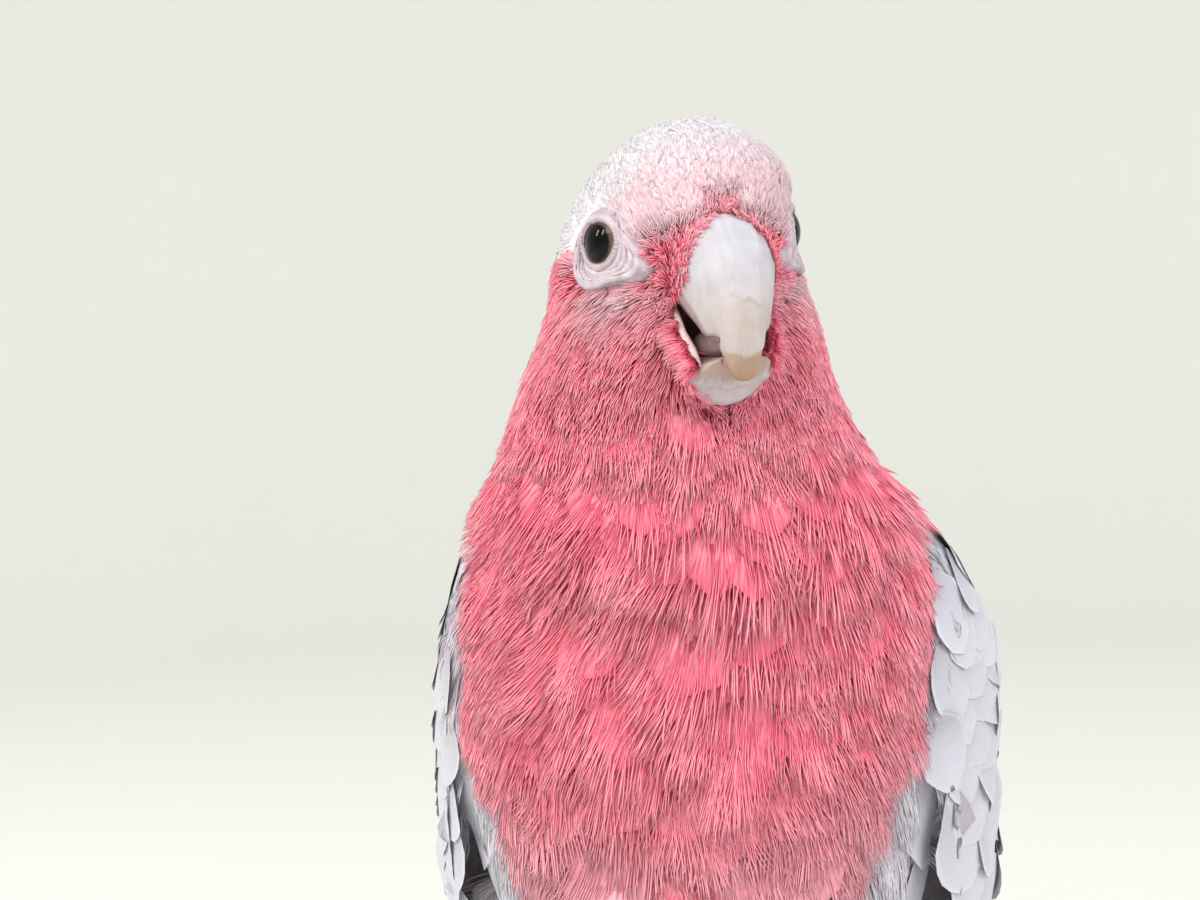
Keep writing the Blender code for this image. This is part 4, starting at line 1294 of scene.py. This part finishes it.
def clear_of_face(places):
    """True where a feather may root: not on bare skin, nor where horn and mouth show."""
    left, forward, up_ = to_head(places).T
    in_mouth = (left / 6.9) ** 2 + ((forward - 17) / 11.5) ** 2 + ((up_ + 12.8) / 6.2) ** 2 < 1
    on_lids = (round_eye(forward, up_, 5.0, 4.7) < 1) & (np.abs(left) > 4)
    # Tufts come closer to the horn over its top, and stay further off below.
    nearest = -0.3 - 0.4 * step(up_, -1, 2) + 0.35 * step(up_, -16, -20)
    ragged = places + rng.normal(0, 0.6 * MM, places.shape)
    on_skin = bare_round_eye(ragged) >= 0.65
    return ~on_skin & (beside_bill(places) > nearest) & ~in_mouth & ~on_lids


# %% Head feathers
def dress_head(name, where, spacing, length, barbs, thick, lift, swing=0.14, width=0.5, **look):
    """A region of tufts on the head. where, spacing, length and lift are functions of places."""
    roots = scattered(face_form, spacing, lambda p: where(p) & clear_of_face(p))
    course = head_course(roots)
    size = length(roots) * rng.uniform(0.8, 1.2, len(roots))
    normals = np.array([face_form.near(p)[1] for p in roots])
    swing = swing(roots)[:, None] if callable(swing) else swing
    course = unit(course + np.cross(normals, course) * rng.normal(0, 1, (len(roots), 1)) * swing)
    # A tuft that would run over the bare skin is shortened, and one that would end on the eye is left out.
    over_skin = [bare_round_eye(roots + course * (size * share)[:, None]) for share in (0.4, 0.65, 0.9)]
    size = size * (1 - 0.68 * np.max(over_skin, axis=0))
    left, forward, up_ = to_head(roots + course * size[:, None]).T
    clear = (round_eye(forward, up_, 4.7, 4.5) > 1) | (np.abs(left) < 4)
    roots, course, size, normals = roots[clear], course[clear], size[clear], normals[clear]
    tips = lift(roots) + rng.normal(0, 0.12, len(roots)) * MM
    lines, normals = lines_near(face_form, roots, course, size, -0.5 * MM, tips)
    roots = along_body(roots)
    feathers = soft_feathers(name, lines, normals, roots, size, size * width, barbs, thick, **look)
    wear(feathers, soft_material)


def above_cap_edge(places):
    _, forward, up_ = to_head(places).T
    return up_ > cap_edge(forward)


def by_reach(start, slope, low, high):
    """A size in metres that grows with the distance from the bill's root, both in millimetres."""
    return lambda places: np.clip(start + slope * from_bill(places), low, high) * MM


def level(height):
    return lambda places: np.full(len(places), height * MM)


def curl(places):
    """How far tufts stray from their course: much above the gape, little below it."""
    return 0.18 + 0.5 * step(to_head(places)[:, 2], -13, -8)


def bristle_gap(places):
    """Room for each bristly tuft in metres: least along the horn."""
    return (0.50 + 0.26 * step(beside_bill(places), 0.8, 2.4)) * MM


def bristle_reach(places):
    """How far from the bill's edge the bristles stand: furthest in front of the eye."""
    up_ = to_head(places)[:, 2]
    return 0.6 + 2.6 * step(up_, -12, -8) + 4.2 * bell(up_, -3.5, 3.8)


def past_bristles(places):
    return beside_bill(places) > bristle_reach(places) - 1.5


FACE_END = 52  # length along the body where the neck's rows take over
dress_head(
    "crown_feathers",
    lambda p: above_cap_edge(p) & past_bristles(p) & (along_body(p)[0] < CROWN_END),
    by_reach(0.82, 0.012, 0.9, 1.30), by_reach(2.6, 0.19, 3.2, 9.5), 8, 0.16 * MM, level(-0.15),
    ragged=0.25, locks=3, begin=0.3, splay=0.15, vane=0.88, tone=0.08, grid=(5, 4), frizz=0.03 * MM,
    proud=0.0, marked=1, ribs=0.0, width=0.55, swing=0.10, sheet=0.06 * MM, crown=0.025, sheen=0.92,
)
dress_head(
    "face_feathers",
    lambda p: ~above_cap_edge(p) & past_bristles(p) & (along_body(p)[0] < FACE_END),
    by_reach(0.75, 0.020, 0.9, 1.7), by_reach(1.6, 0.20, 2.2, 10.5), 8, 0.20 * MM, level(0.35),
    ragged=0.3, locks=2, begin=0.0, splay=0.3, vane=0.0, tone=0.35, fade=0.6,
)
# Short bristly tufts stand up round the edge of the bill.
dress_head(
    "bristles_round_bill", lambda p: beside_bill(p) <= bristle_reach(p),
    bristle_gap, level(2.1), 6, 0.23 * MM, level(0.7), swing=curl, width=0.7,
    ragged=0.35, locks=2, begin=0.0, splay=0.5, vane=0.0, tone=0.6, fade=0.8,
)


def dress_gape(label, side, count=110):
    """Tufts that root on the fold outside the gape and lie back over the cheek."""
    base = at_share(GAPE, np.sort(rng.uniform(0.06, 0.97, count)))
    # On the bird's left they root close to the rim and hide it.
    base = base + np.array((0.1 if side > 0 else 0.9, 0.3, 0.0)) + rng.normal(0, 0.35, (count, 3))
    course = unit(np.array((1.0, -0.85, -0.55)) + rng.normal(0, 0.16, (count, 3)))
    out = unit(np.array((0.45, 0.9, 0.1)) + rng.normal(0, 0.08, (count, 3)))
    length = rng.uniform(2.4, 4.2, count)
    flip = np.array((side, 1.0, 1.0))
    t = np.linspace(0, 1, 3)[None, :, None]
    path = base[:, None] + course[:, None] * length[:, None, None] * t + out[:, None] * (0.5 * t - 0.5 * t**2)
    lines = from_head((path * flip).reshape(-1, 3)).reshape(count, 3, 3)
    normals = np.repeat(((out * flip) @ HEAD_AXES)[:, None], 3, 1)
    feathers = soft_feathers(
        f"gape_feathers_{label}", lines, normals, along_body(lines[:, 0]), length * MM, length * 0.55 * MM,
        9, 0.19 * MM, ragged=0.3, locks=2, begin=0.0, splay=0.3, vane=0.0, tone=0.4, fade=0.6,
    )
    wear(feathers, soft_material)


for label, side in SIDES.items():
    dress_gape(label, side)

# %% [markdown]
# ## Breast, belly and neck
# Rows of soft feathers run down from the throat to the vent. They are staggered and shaken out of line,
# because combed rows would look like knitting. Towards the sides they lean outwards and lap over the
# front edge of the wing.

# %% Rose feathers of neck, breast and belly
# A length along the body, and the wing's front and back edge there in degrees round it.
WING_EDGES = np.array(
    ((68, 96, 128), (76, 82, 156), (95, 70, 168), (125, 68, 171), (158, 72, 172), (190, 80, 172),
     (222, 92, 173), (255, 104, 174), (290, 122, 173), (316, 146, 170))
)
# Lengths along the body, and how far in front of the wing's edge in degrees the rose ends there.
ROSE_GAP = np.array(((70, 12), (80, 15), (90, 17), (104, 36), (180, 36), (204, 10)))
BEND = 68  # length along the body where the bend of the wing begins
# Ends of the tiers that the underparts fall in, as lengths along the body.
TIER_ENDS = np.array((52.0, 73.0, 94.0, 118.0, 141.0, 168.0, 200.0, 260.0))


def wing_front(s):
    return np.interp(s, WING_EDGES[:, 0], WING_EDGES[:, 1])


def tier_share(s, angle):
    """How far down its tier a feather's tip lies, from 0 to 1. The tiers sag and wander sideways."""
    s = s - 3.0 * np.cos(angle) - 2.2 * np.sin(angle * 4 + 0.6) - 1.2 * np.sin(angle * 9 + s * 0.05)
    k = np.clip(np.searchsorted(TIER_ENDS, s), 1, len(TIER_ENDS) - 1)
    return np.clip((s - TIER_ENDS[k - 1]) / (TIER_ENDS[k] - TIER_ENDS[k - 1]), 0, 1)


def dress_body(name, start, end, gap, pitch, low, high, length, width, barbs, form=body_form,
               lift=(-3.0, 0.3), lean=0.0, thick=0.28 * MM, spread=0.85, tiers=2.3, parting=0.0, **look):
    """A region of soft feathers. Sizes are in millimetres, angles in degrees.

    lift is that of root and tip, spread the power it rises by, lean the slant towards the sides, tiers
    how far tips stand off where a tier ends, and parting how deep a groove runs down the middle.
    """
    s, angle = spread_rows(form, start, end, gap, pitch, low, high)
    reach = wing_front(s + 12 * step(s, 92, 84)) - np.interp(s, *ROSE_GAP.T)
    beside = np.abs(np.degrees(angle))
    kept = (beside < reach) | ((s < BEND) & ((beside < 74) | (s < 60)))
    s, angle, reach, beside = s[kept], angle[kept], reach[kept], beside[kept]
    count = len(s)
    # Feathers in front of the bend of the wing stop short of it.
    shorter = 0.36 * bell(beside, 88, 15) * step(s, 50, 54) * (s < BEND)
    size = rng.uniform(0.82, 1.18, count) * (1 - shorter)
    at_edge = step(beside - reach, -18, -3) * step(s, 64, 72)
    slant = rng.normal(0, 0.17, count) * (1 - 0.5 * at_edge) + lean * np.sin(angle) * (1 - at_edge)
    slant += parting * np.sign(angle) * 0.25 * bell(beside, 9, 9)
    down = tier_share(s + length * size * 0.95, angle)
    tips = lift[1] + rng.normal(0, 0.25, count) + tiers * (down**2.5 - 0.25) * step(beside, 110, 60)
    tips = tips - parting * 1.5 * np.exp(-(beside / 6.0) ** 2)
    lines, normals = lines_round(
        form, s, angle, length * size, slant, np.full(count, lift[0] * MM), tips * MM, rise=spread
    )
    width = width * size * (1 - 0.35 * at_edge)
    feathers = soft_feathers(
        name, lines, normals, (s, angle), length * size * MM, width * MM, barbs, thick, **look
    )
    wear(feathers, soft_material)


dress_body("neck_feathers", 42, 53, 3.2, 4.8, -179, 181, 14, 9, 22, lift=(-2.6, 0.7), thick=0.28 * MM,
           begin=0.15, vane=0.7, tiers=0.0)
# The ruff: the longest feathers of the throat and neck stand off the breast, parted under the bill.
dress_body("ruff_feathers", 52, 60, 2.6, 4.6, -178, 180, 16, 10, 24, lift=(-2.6, 2.0), thick=0.28 * MM,
           begin=0.15, vane=0.66, tiers=3.4, parting=1.0, ragged=0.22)
dress_body("breast_feathers", 55, 112, 4.4, 6.2, -96, 96, 18, 15, 36, lean=0.3, begin=0.12, vane=0.7)
dress_body("belly_feathers", 110, 168, 4.9, 6.6, -98, 98, 18, 15, 34, lean=0.2, begin=0.12, vane=0.7)
dress_body("vent_feathers", 164, 226, 6.0, 7.0, -100, 100, 20, 13, 20, lean=0.1)

# %% Flank feathers
FLANK_END = 92


def dress_flank(label, side, stations=5):
    """The longest breast feathers, which root in front of a wing and lap over its front edge."""
    rows = np.arange(BEND, FLANK_END, 4.2)
    steps_back = (16.0, 11.0, 6.0, 1.0, -3.0)
    s = np.repeat(rows, len(steps_back)) + rng.uniform(-1.5, 1.5, len(rows) * len(steps_back))
    step_back = np.tile(steps_back, len(rows)) + rng.uniform(-2, 2, len(s))
    edge = wing_front(s) - (8.0 if side < 0 else 4.0) * step(s, 92, 80)
    first, last = edge - step_back - 18.0, edge - step_back * 0.8 - 15.5
    length = rng.uniform(14, 20, len(s))
    lines, normals = np.empty((len(s), stations, 3)), np.empty((len(s), stations, 3))
    for k, t in enumerate(np.linspace(0, 1, stations)):
        here, angle = s + length * t * 0.92, side * np.radians(first + (last - first) * t)
        low_hit, low_normal = body_form.outer(here, angle)
        high_hit, high_normal = whole_form.outer(here, angle)
        over = t**0.8
        lines[:, k] = low_hit * (1 - over) + high_hit * over + high_normal * (-2.0 + 2.9 * t) * MM
        normals[:, k] = low_normal * (1 - over) + high_normal * over
    feathers = soft_feathers(
        f"flank_feathers_{label}", lines, normals, (s, side * np.radians(first)), length * MM,
        rng.uniform(8, 12, len(s)) * MM, 26, 0.28 * MM, begin=0.12, vane=0.66,
    )
    wear(feathers, soft_material)


def dress_inner_wing(label, side):
    """Loose grey down in the hollow between the belly and the front edge of the folded wing."""
    shares = np.linspace(1, 0.08, 6)
    rows = np.repeat(np.arange(70, 214, 5.0), len(shares))
    s = rows + rng.uniform(-2, 2, len(rows))
    hollow = np.interp(s, (70, 86, 104, 180, 204), (8, 13, 33, 33, 8))
    shares = np.tile(shares, len(rows) // len(shares))
    beside = wing_front(s) - hollow * shares + rng.uniform(-2, 2, len(rows))
    angle, length = side * np.radians(beside), rng.uniform(15, 21, len(rows))
    lines, normals = lines_round(
        whole_form, s, angle, length, rng.normal(0.06 * side, 0.10, len(rows)),
        np.full(len(s), -2.6 * MM), np.full(len(s), -1.3 * MM)
    )
    feathers = soft_feathers(
        f"inner_wing_feathers_{label}", lines, normals, (s, angle), length * MM,
        rng.uniform(6, 9, len(rows)) * MM, 22, 0.30 * MM, tone=0.9, begin=0.12, vane=0.7,
        grey_least=rng.choice([0.92, 1.0], len(rows)),
    )
    wear(feathers, soft_material)


for label, side in SIDES.items():
    dress_flank(label, side)
    dress_inner_wing(label, side)

# %% [markdown]
# ## Back, wings and tail
# The mantle and the wing coverts are short rounded vanes laid like tiles. Below them the secondaries and
# then the primaries run on to the tip of the folded wing, each longer and narrower than the last. The
# tail is a fan of twelve feathers that almost hides itself when closed, the middle pair on top.

# %% Firm feathers along the body
LONGEST_STEP = 1.32  # of the even step along a feather that keeps to the surface


def dress_firm(name, s, angle, length, width, form=whole_form, lift=(-1.0, 0.15), lean=0.0,
               stations=6, shake=0.06, **look):
    """A region of vanes. Sizes are in millimetres, and lift is that of root and tip."""
    count = len(s)
    size = rng.uniform(0.93, 1.07, count)
    slant = rng.normal(0, shake, count) + lean
    raise_ = rng.normal(0, 0.05, count)
    lines, normals = lines_round(
        form, s, angle, length * size, slant, (lift[0] + raise_) * MM, (lift[1] + raise_) * MM, stations
    )
    # A feather that would jump from the wing's edge down to the body is left out.
    jump = np.linalg.norm(np.diff(lines, axis=1), axis=2).max(axis=1)
    even = jump < LONGEST_STEP * length * size * MM / (stations - 1)
    print(f"{name}: {count - even.sum()} left out")
    roots, width = (s[even], angle[even]), (width * size)[even] * MM
    wear(firm_feathers(name, lines[even], normals[even], roots, width, **look), firm_material)


s, angle = spread_rows(whole_form, 56, 104, 6.5, 9.5, 112, 248, jitter=0.12)
dress_firm("mantle_feathers", s, angle, 17, 13, tone=0.5, blunt=0.5)
s, angle = spread_rows(body_form, 96, 222, 9, 11, 120, 240, jitter=0.12)
dress_firm("rump_feathers", s, angle, 24, 16, form=body_form, lift=(-2.5, 0.2), tone=0.4)

# %% Wing feathers
WING_TIP = 314  # length along the body where the longest primaries end


def on_wing(side, s, share):
    """The angle at lengths s and at a share of the way from the wing's front edge to its back one."""
    back = np.interp(s, WING_EDGES[:, 0], WING_EDGES[:, 2])
    return side * np.radians(wing_front(s) + (back - wing_front(s)) * share)


def wing_rows(side, start, end, gap, pitch, first=0.03, last=0.97):
    """Staggered rows of roots over a wing, pitch and gap in millimetres."""
    found = []
    for row, s in enumerate(np.arange(start, end, gap)):
        ring = np.linspace(first, last, 40)
        level_s = np.full(len(ring), s)
        hits, _ = whole_form.outer(level_s, on_wing(side, level_s, ring))
        reach, places = staggered(hits, row, pitch)
        share = np.interp(places + rng.uniform(-0.12, 0.12, len(places)) * pitch, reach, ring)
        here = s + rng.uniform(-0.12, 0.12, len(places)) * gap
        found.append(np.stack([here, on_wing(side, here, share)], -1))
    return np.concatenate(found).T


for label, side in SIDES.items():
    s, angle = wing_rows(side, 65, 112, 5.4, 8.0, -0.04)
    dress_firm(f"lesser_coverts_{label}", s, angle, 15, 12, lean=0.10 * side, tone=0.35, lift=(-0.9, -0.1))
    s, angle = wing_rows(side, 104, 142, 8.0, 9.5, -0.09)
    dress_firm(f"median_coverts_{label}", s, angle, 24, 16, lean=0.08 * side, tone=0.3, lift=(-1.1, -0.1))
    s, angle = wing_rows(side, 132, 160, 10, 10.5, -0.12)
    dress_firm(f"greater_coverts_{label}", s, angle, 38, 17, lean=0.05 * side, tone=0.3, lift=(-1.3, -0.1),
               rows=10)
    s, angle = wing_rows(side, 150, 196, 14, 11.5, -0.09, 0.97)
    dress_firm(f"secondaries_{label}", s, angle, 62, 17, lift=(-1.6, -0.1), rows=12, stations=8, tone=0.4,
               dark=0.25, one_sided=0.3 * side, blunt=0.5, shake=0.03)
    s, angle = wing_rows(side, 196, 258, 13, 11, 0.05, 0.9)
    length = np.clip(WING_TIP - s, 20, 90)
    dress_firm(f"primaries_{label}", s, angle, length, 15, lift=(-1.8, -0.2), rows=12, stations=8, tone=0.4,
               dark=0.55, one_sided=0.4 * side, blunt=0.8, shake=0.02)

# %% Tail feathers
def tail_lines(shares, start, end, lift, stations=8):
    """Lines that fan out with the tail. shares run from -1 to 1 across it."""
    count = len(shares)
    lines, normals = np.empty((count, stations, 3)), np.empty((count, stations, 3))
    for k, t in enumerate(np.linspace(0, 1, stations)):
        s = start + (end - start) * t
        centre, left_, back_ = section(s)
        half_width = np.interp(s, [226, 262, 302, 343], [16, 18.5, 21.5, 23.0]) - 6.0
        lines[:, k] = centre + left_ * (shares * half_width * MM)[:, None] + back_ * (lift * MM)[:, None]
        normals[:, k] = back_
    return lines, normals


TAIL_START = 214
TAIL_ROOTS = 230.0  # where the tail's patches lie in the bake's map
shares = np.linspace(-1, 1, 12)
lift = 0.3 + 1.5 * (1 - np.abs(shares)) + 0.1 * (shares > 0)
ends = LINE_END - 1.5 - 7.0 * shares**2
lines, normals = tail_lines(shares, TAIL_START, ends, lift)
roots = (np.full(len(shares), TAIL_ROOTS), np.pi + shares * 0.5)
tail = firm_feathers("tail_feathers", lines, normals, roots, 13.5 * MM, columns=9, rows=18, blunt=0.26,
                     cup=0.05, dark=0.8, tone=0.3)
wear(tail, firm_material)

# %% Thigh feathers
THIGH_TOP = 75 * MM
SHANK_TOP = 12 * MM  # tufts end above this height, clear of the feet


def dress_thigh(label):
    """Loose tufts that hang down over a thigh."""
    low_, high_ = np.array(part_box(f"thigh_{label}"))

    def inside(places):
        near = (places > low_ - 2 * MM) & (places < high_ + 2 * MM)
        return near.all(1) & (places[:, 2] < THIGH_TOP)

    roots = scattered(body_form, level(3.2), inside)
    course = np.tile((0.0, 0.05, -1.0), (len(roots), 1)) + rng.normal(0, 0.12, (len(roots), 3))
    size = np.clip(roots[:, 2] - SHANK_TOP, 4 * MM, 12 * MM)
    lines, normals = lines_near(body_form, roots, unit(course), size, -1.2 * MM, level(0.2)(roots))
    feathers = soft_feathers(
        f"thigh_feathers_{label}", lines, normals, along_body(roots), size, size * 0.6, 9, 0.34 * MM
    )
    wear(feathers, soft_material)


for label in SIDES:
    dress_thigh(label)

# %% Seat coat and skin on the root, hide the CAD parts and remove the forms
for piece in coat:
    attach(piece, "root")
print("coat:", len(coat), "pieces")
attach(skin, "root")
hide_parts("head", "neck", "trunk", "tail", "thigh_left", "thigh_right", "wing_left", "wing_right")
for form in (face_form, body_form, whole_form):
    bpy.data.objects.remove(form.obj)

# %% [markdown]
# ## Stage and light
# A pale bowl of a floor curves up into a wall all round, so no edge shows from any side. The light is
# that of a bright room: one large soft window high on the bird's right, a weaker one on its left, and
# light from all round.

# %% Stage
deselect()
bpy.ops.mesh.primitive_circle_add(vertices=96, radius=1.0, fill_type="NGON")
bowl = bpy.context.object
bowl.name = bowl.data.name = "bowl"
bpy.ops.object.mode_set(mode="EDIT")
bpy.ops.mesh.select_all(action="SELECT")
RISE_RADIUS = 0.7
RISE_STEPS = 10
WALL_HEIGHT = 1.2
turned = 0.0
for k in range(RISE_STEPS):
    angle = math.pi / 2 * (k + 1) / RISE_STEPS
    grow = 1 + RISE_RADIUS * math.sin(angle)
    bpy.ops.mesh.extrude_region_move(
        TRANSFORM_OT_translate={"value": (0, 0, RISE_RADIUS * (math.cos(turned) - math.cos(angle)))}
    )
    ratio = grow / (1 + RISE_RADIUS * math.sin(turned))
    bpy.ops.transform.resize(value=(ratio, ratio, 1), center_override=(0, 0, 0))
    turned = angle
bpy.ops.mesh.extrude_region_move(TRANSFORM_OT_translate={"value": (0, 0, WALL_HEIGHT)})
bpy.ops.mesh.delete(type="ONLY_FACE")
bpy.ops.object.mode_set(mode="OBJECT")
bpy.ops.object.shade_smooth()
bowl.data.materials.append(clouded_material("matt_painted_board", 1.5, "#E8E8E2", "#EAEAE4", 0.9, 2.0))

# %% Lights
scene.view_settings.view_transform = "Standard"
AIM = Vector((0, -0.03, 0.17))  # the breast, which every light faces
scene.world = bpy.data.worlds.new("room")
scene.world.use_nodes = True
room_light = scene.world.node_tree.nodes["Background"]
room_light.inputs["Color"].default_value = linear("#F4F6FA")
room_light.inputs["Strength"].default_value = 0.86


def window(name, place, size, power, colour):
    light = bpy.data.lights.new(name, "AREA")
    light.shape, light.size, light.size_y = "RECTANGLE", *size
    light.energy, light.color = power, linear(colour)[:3]
    lamp = bpy.data.objects.new(name, light)
    scene.collection.objects.link(lamp)
    lamp.location = place
    lamp.rotation_euler = (AIM - lamp.location).to_track_quat("-Z", "Y").to_euler()
    print(f"{name}: {power} W")


window("window_right_side", (-0.5, -0.9, 1.05), (0.7, 0.6), 10.4, "#FFFBF6")
window("window_left_side", (0.75, -0.75, 0.8), (0.6, 0.6), 6.8, "#F4F6FF")
# Two narrow panes far round on the right give the eye its bright glints.
window("pane_behind", (-0.82, -0.20, 0.62), (0.09, 0.24), 1.4, "#FFFFFF")
window("pane_before", (-0.69, -0.50, 0.67), (0.09, 0.24), 1.4, "#FFFFFF")
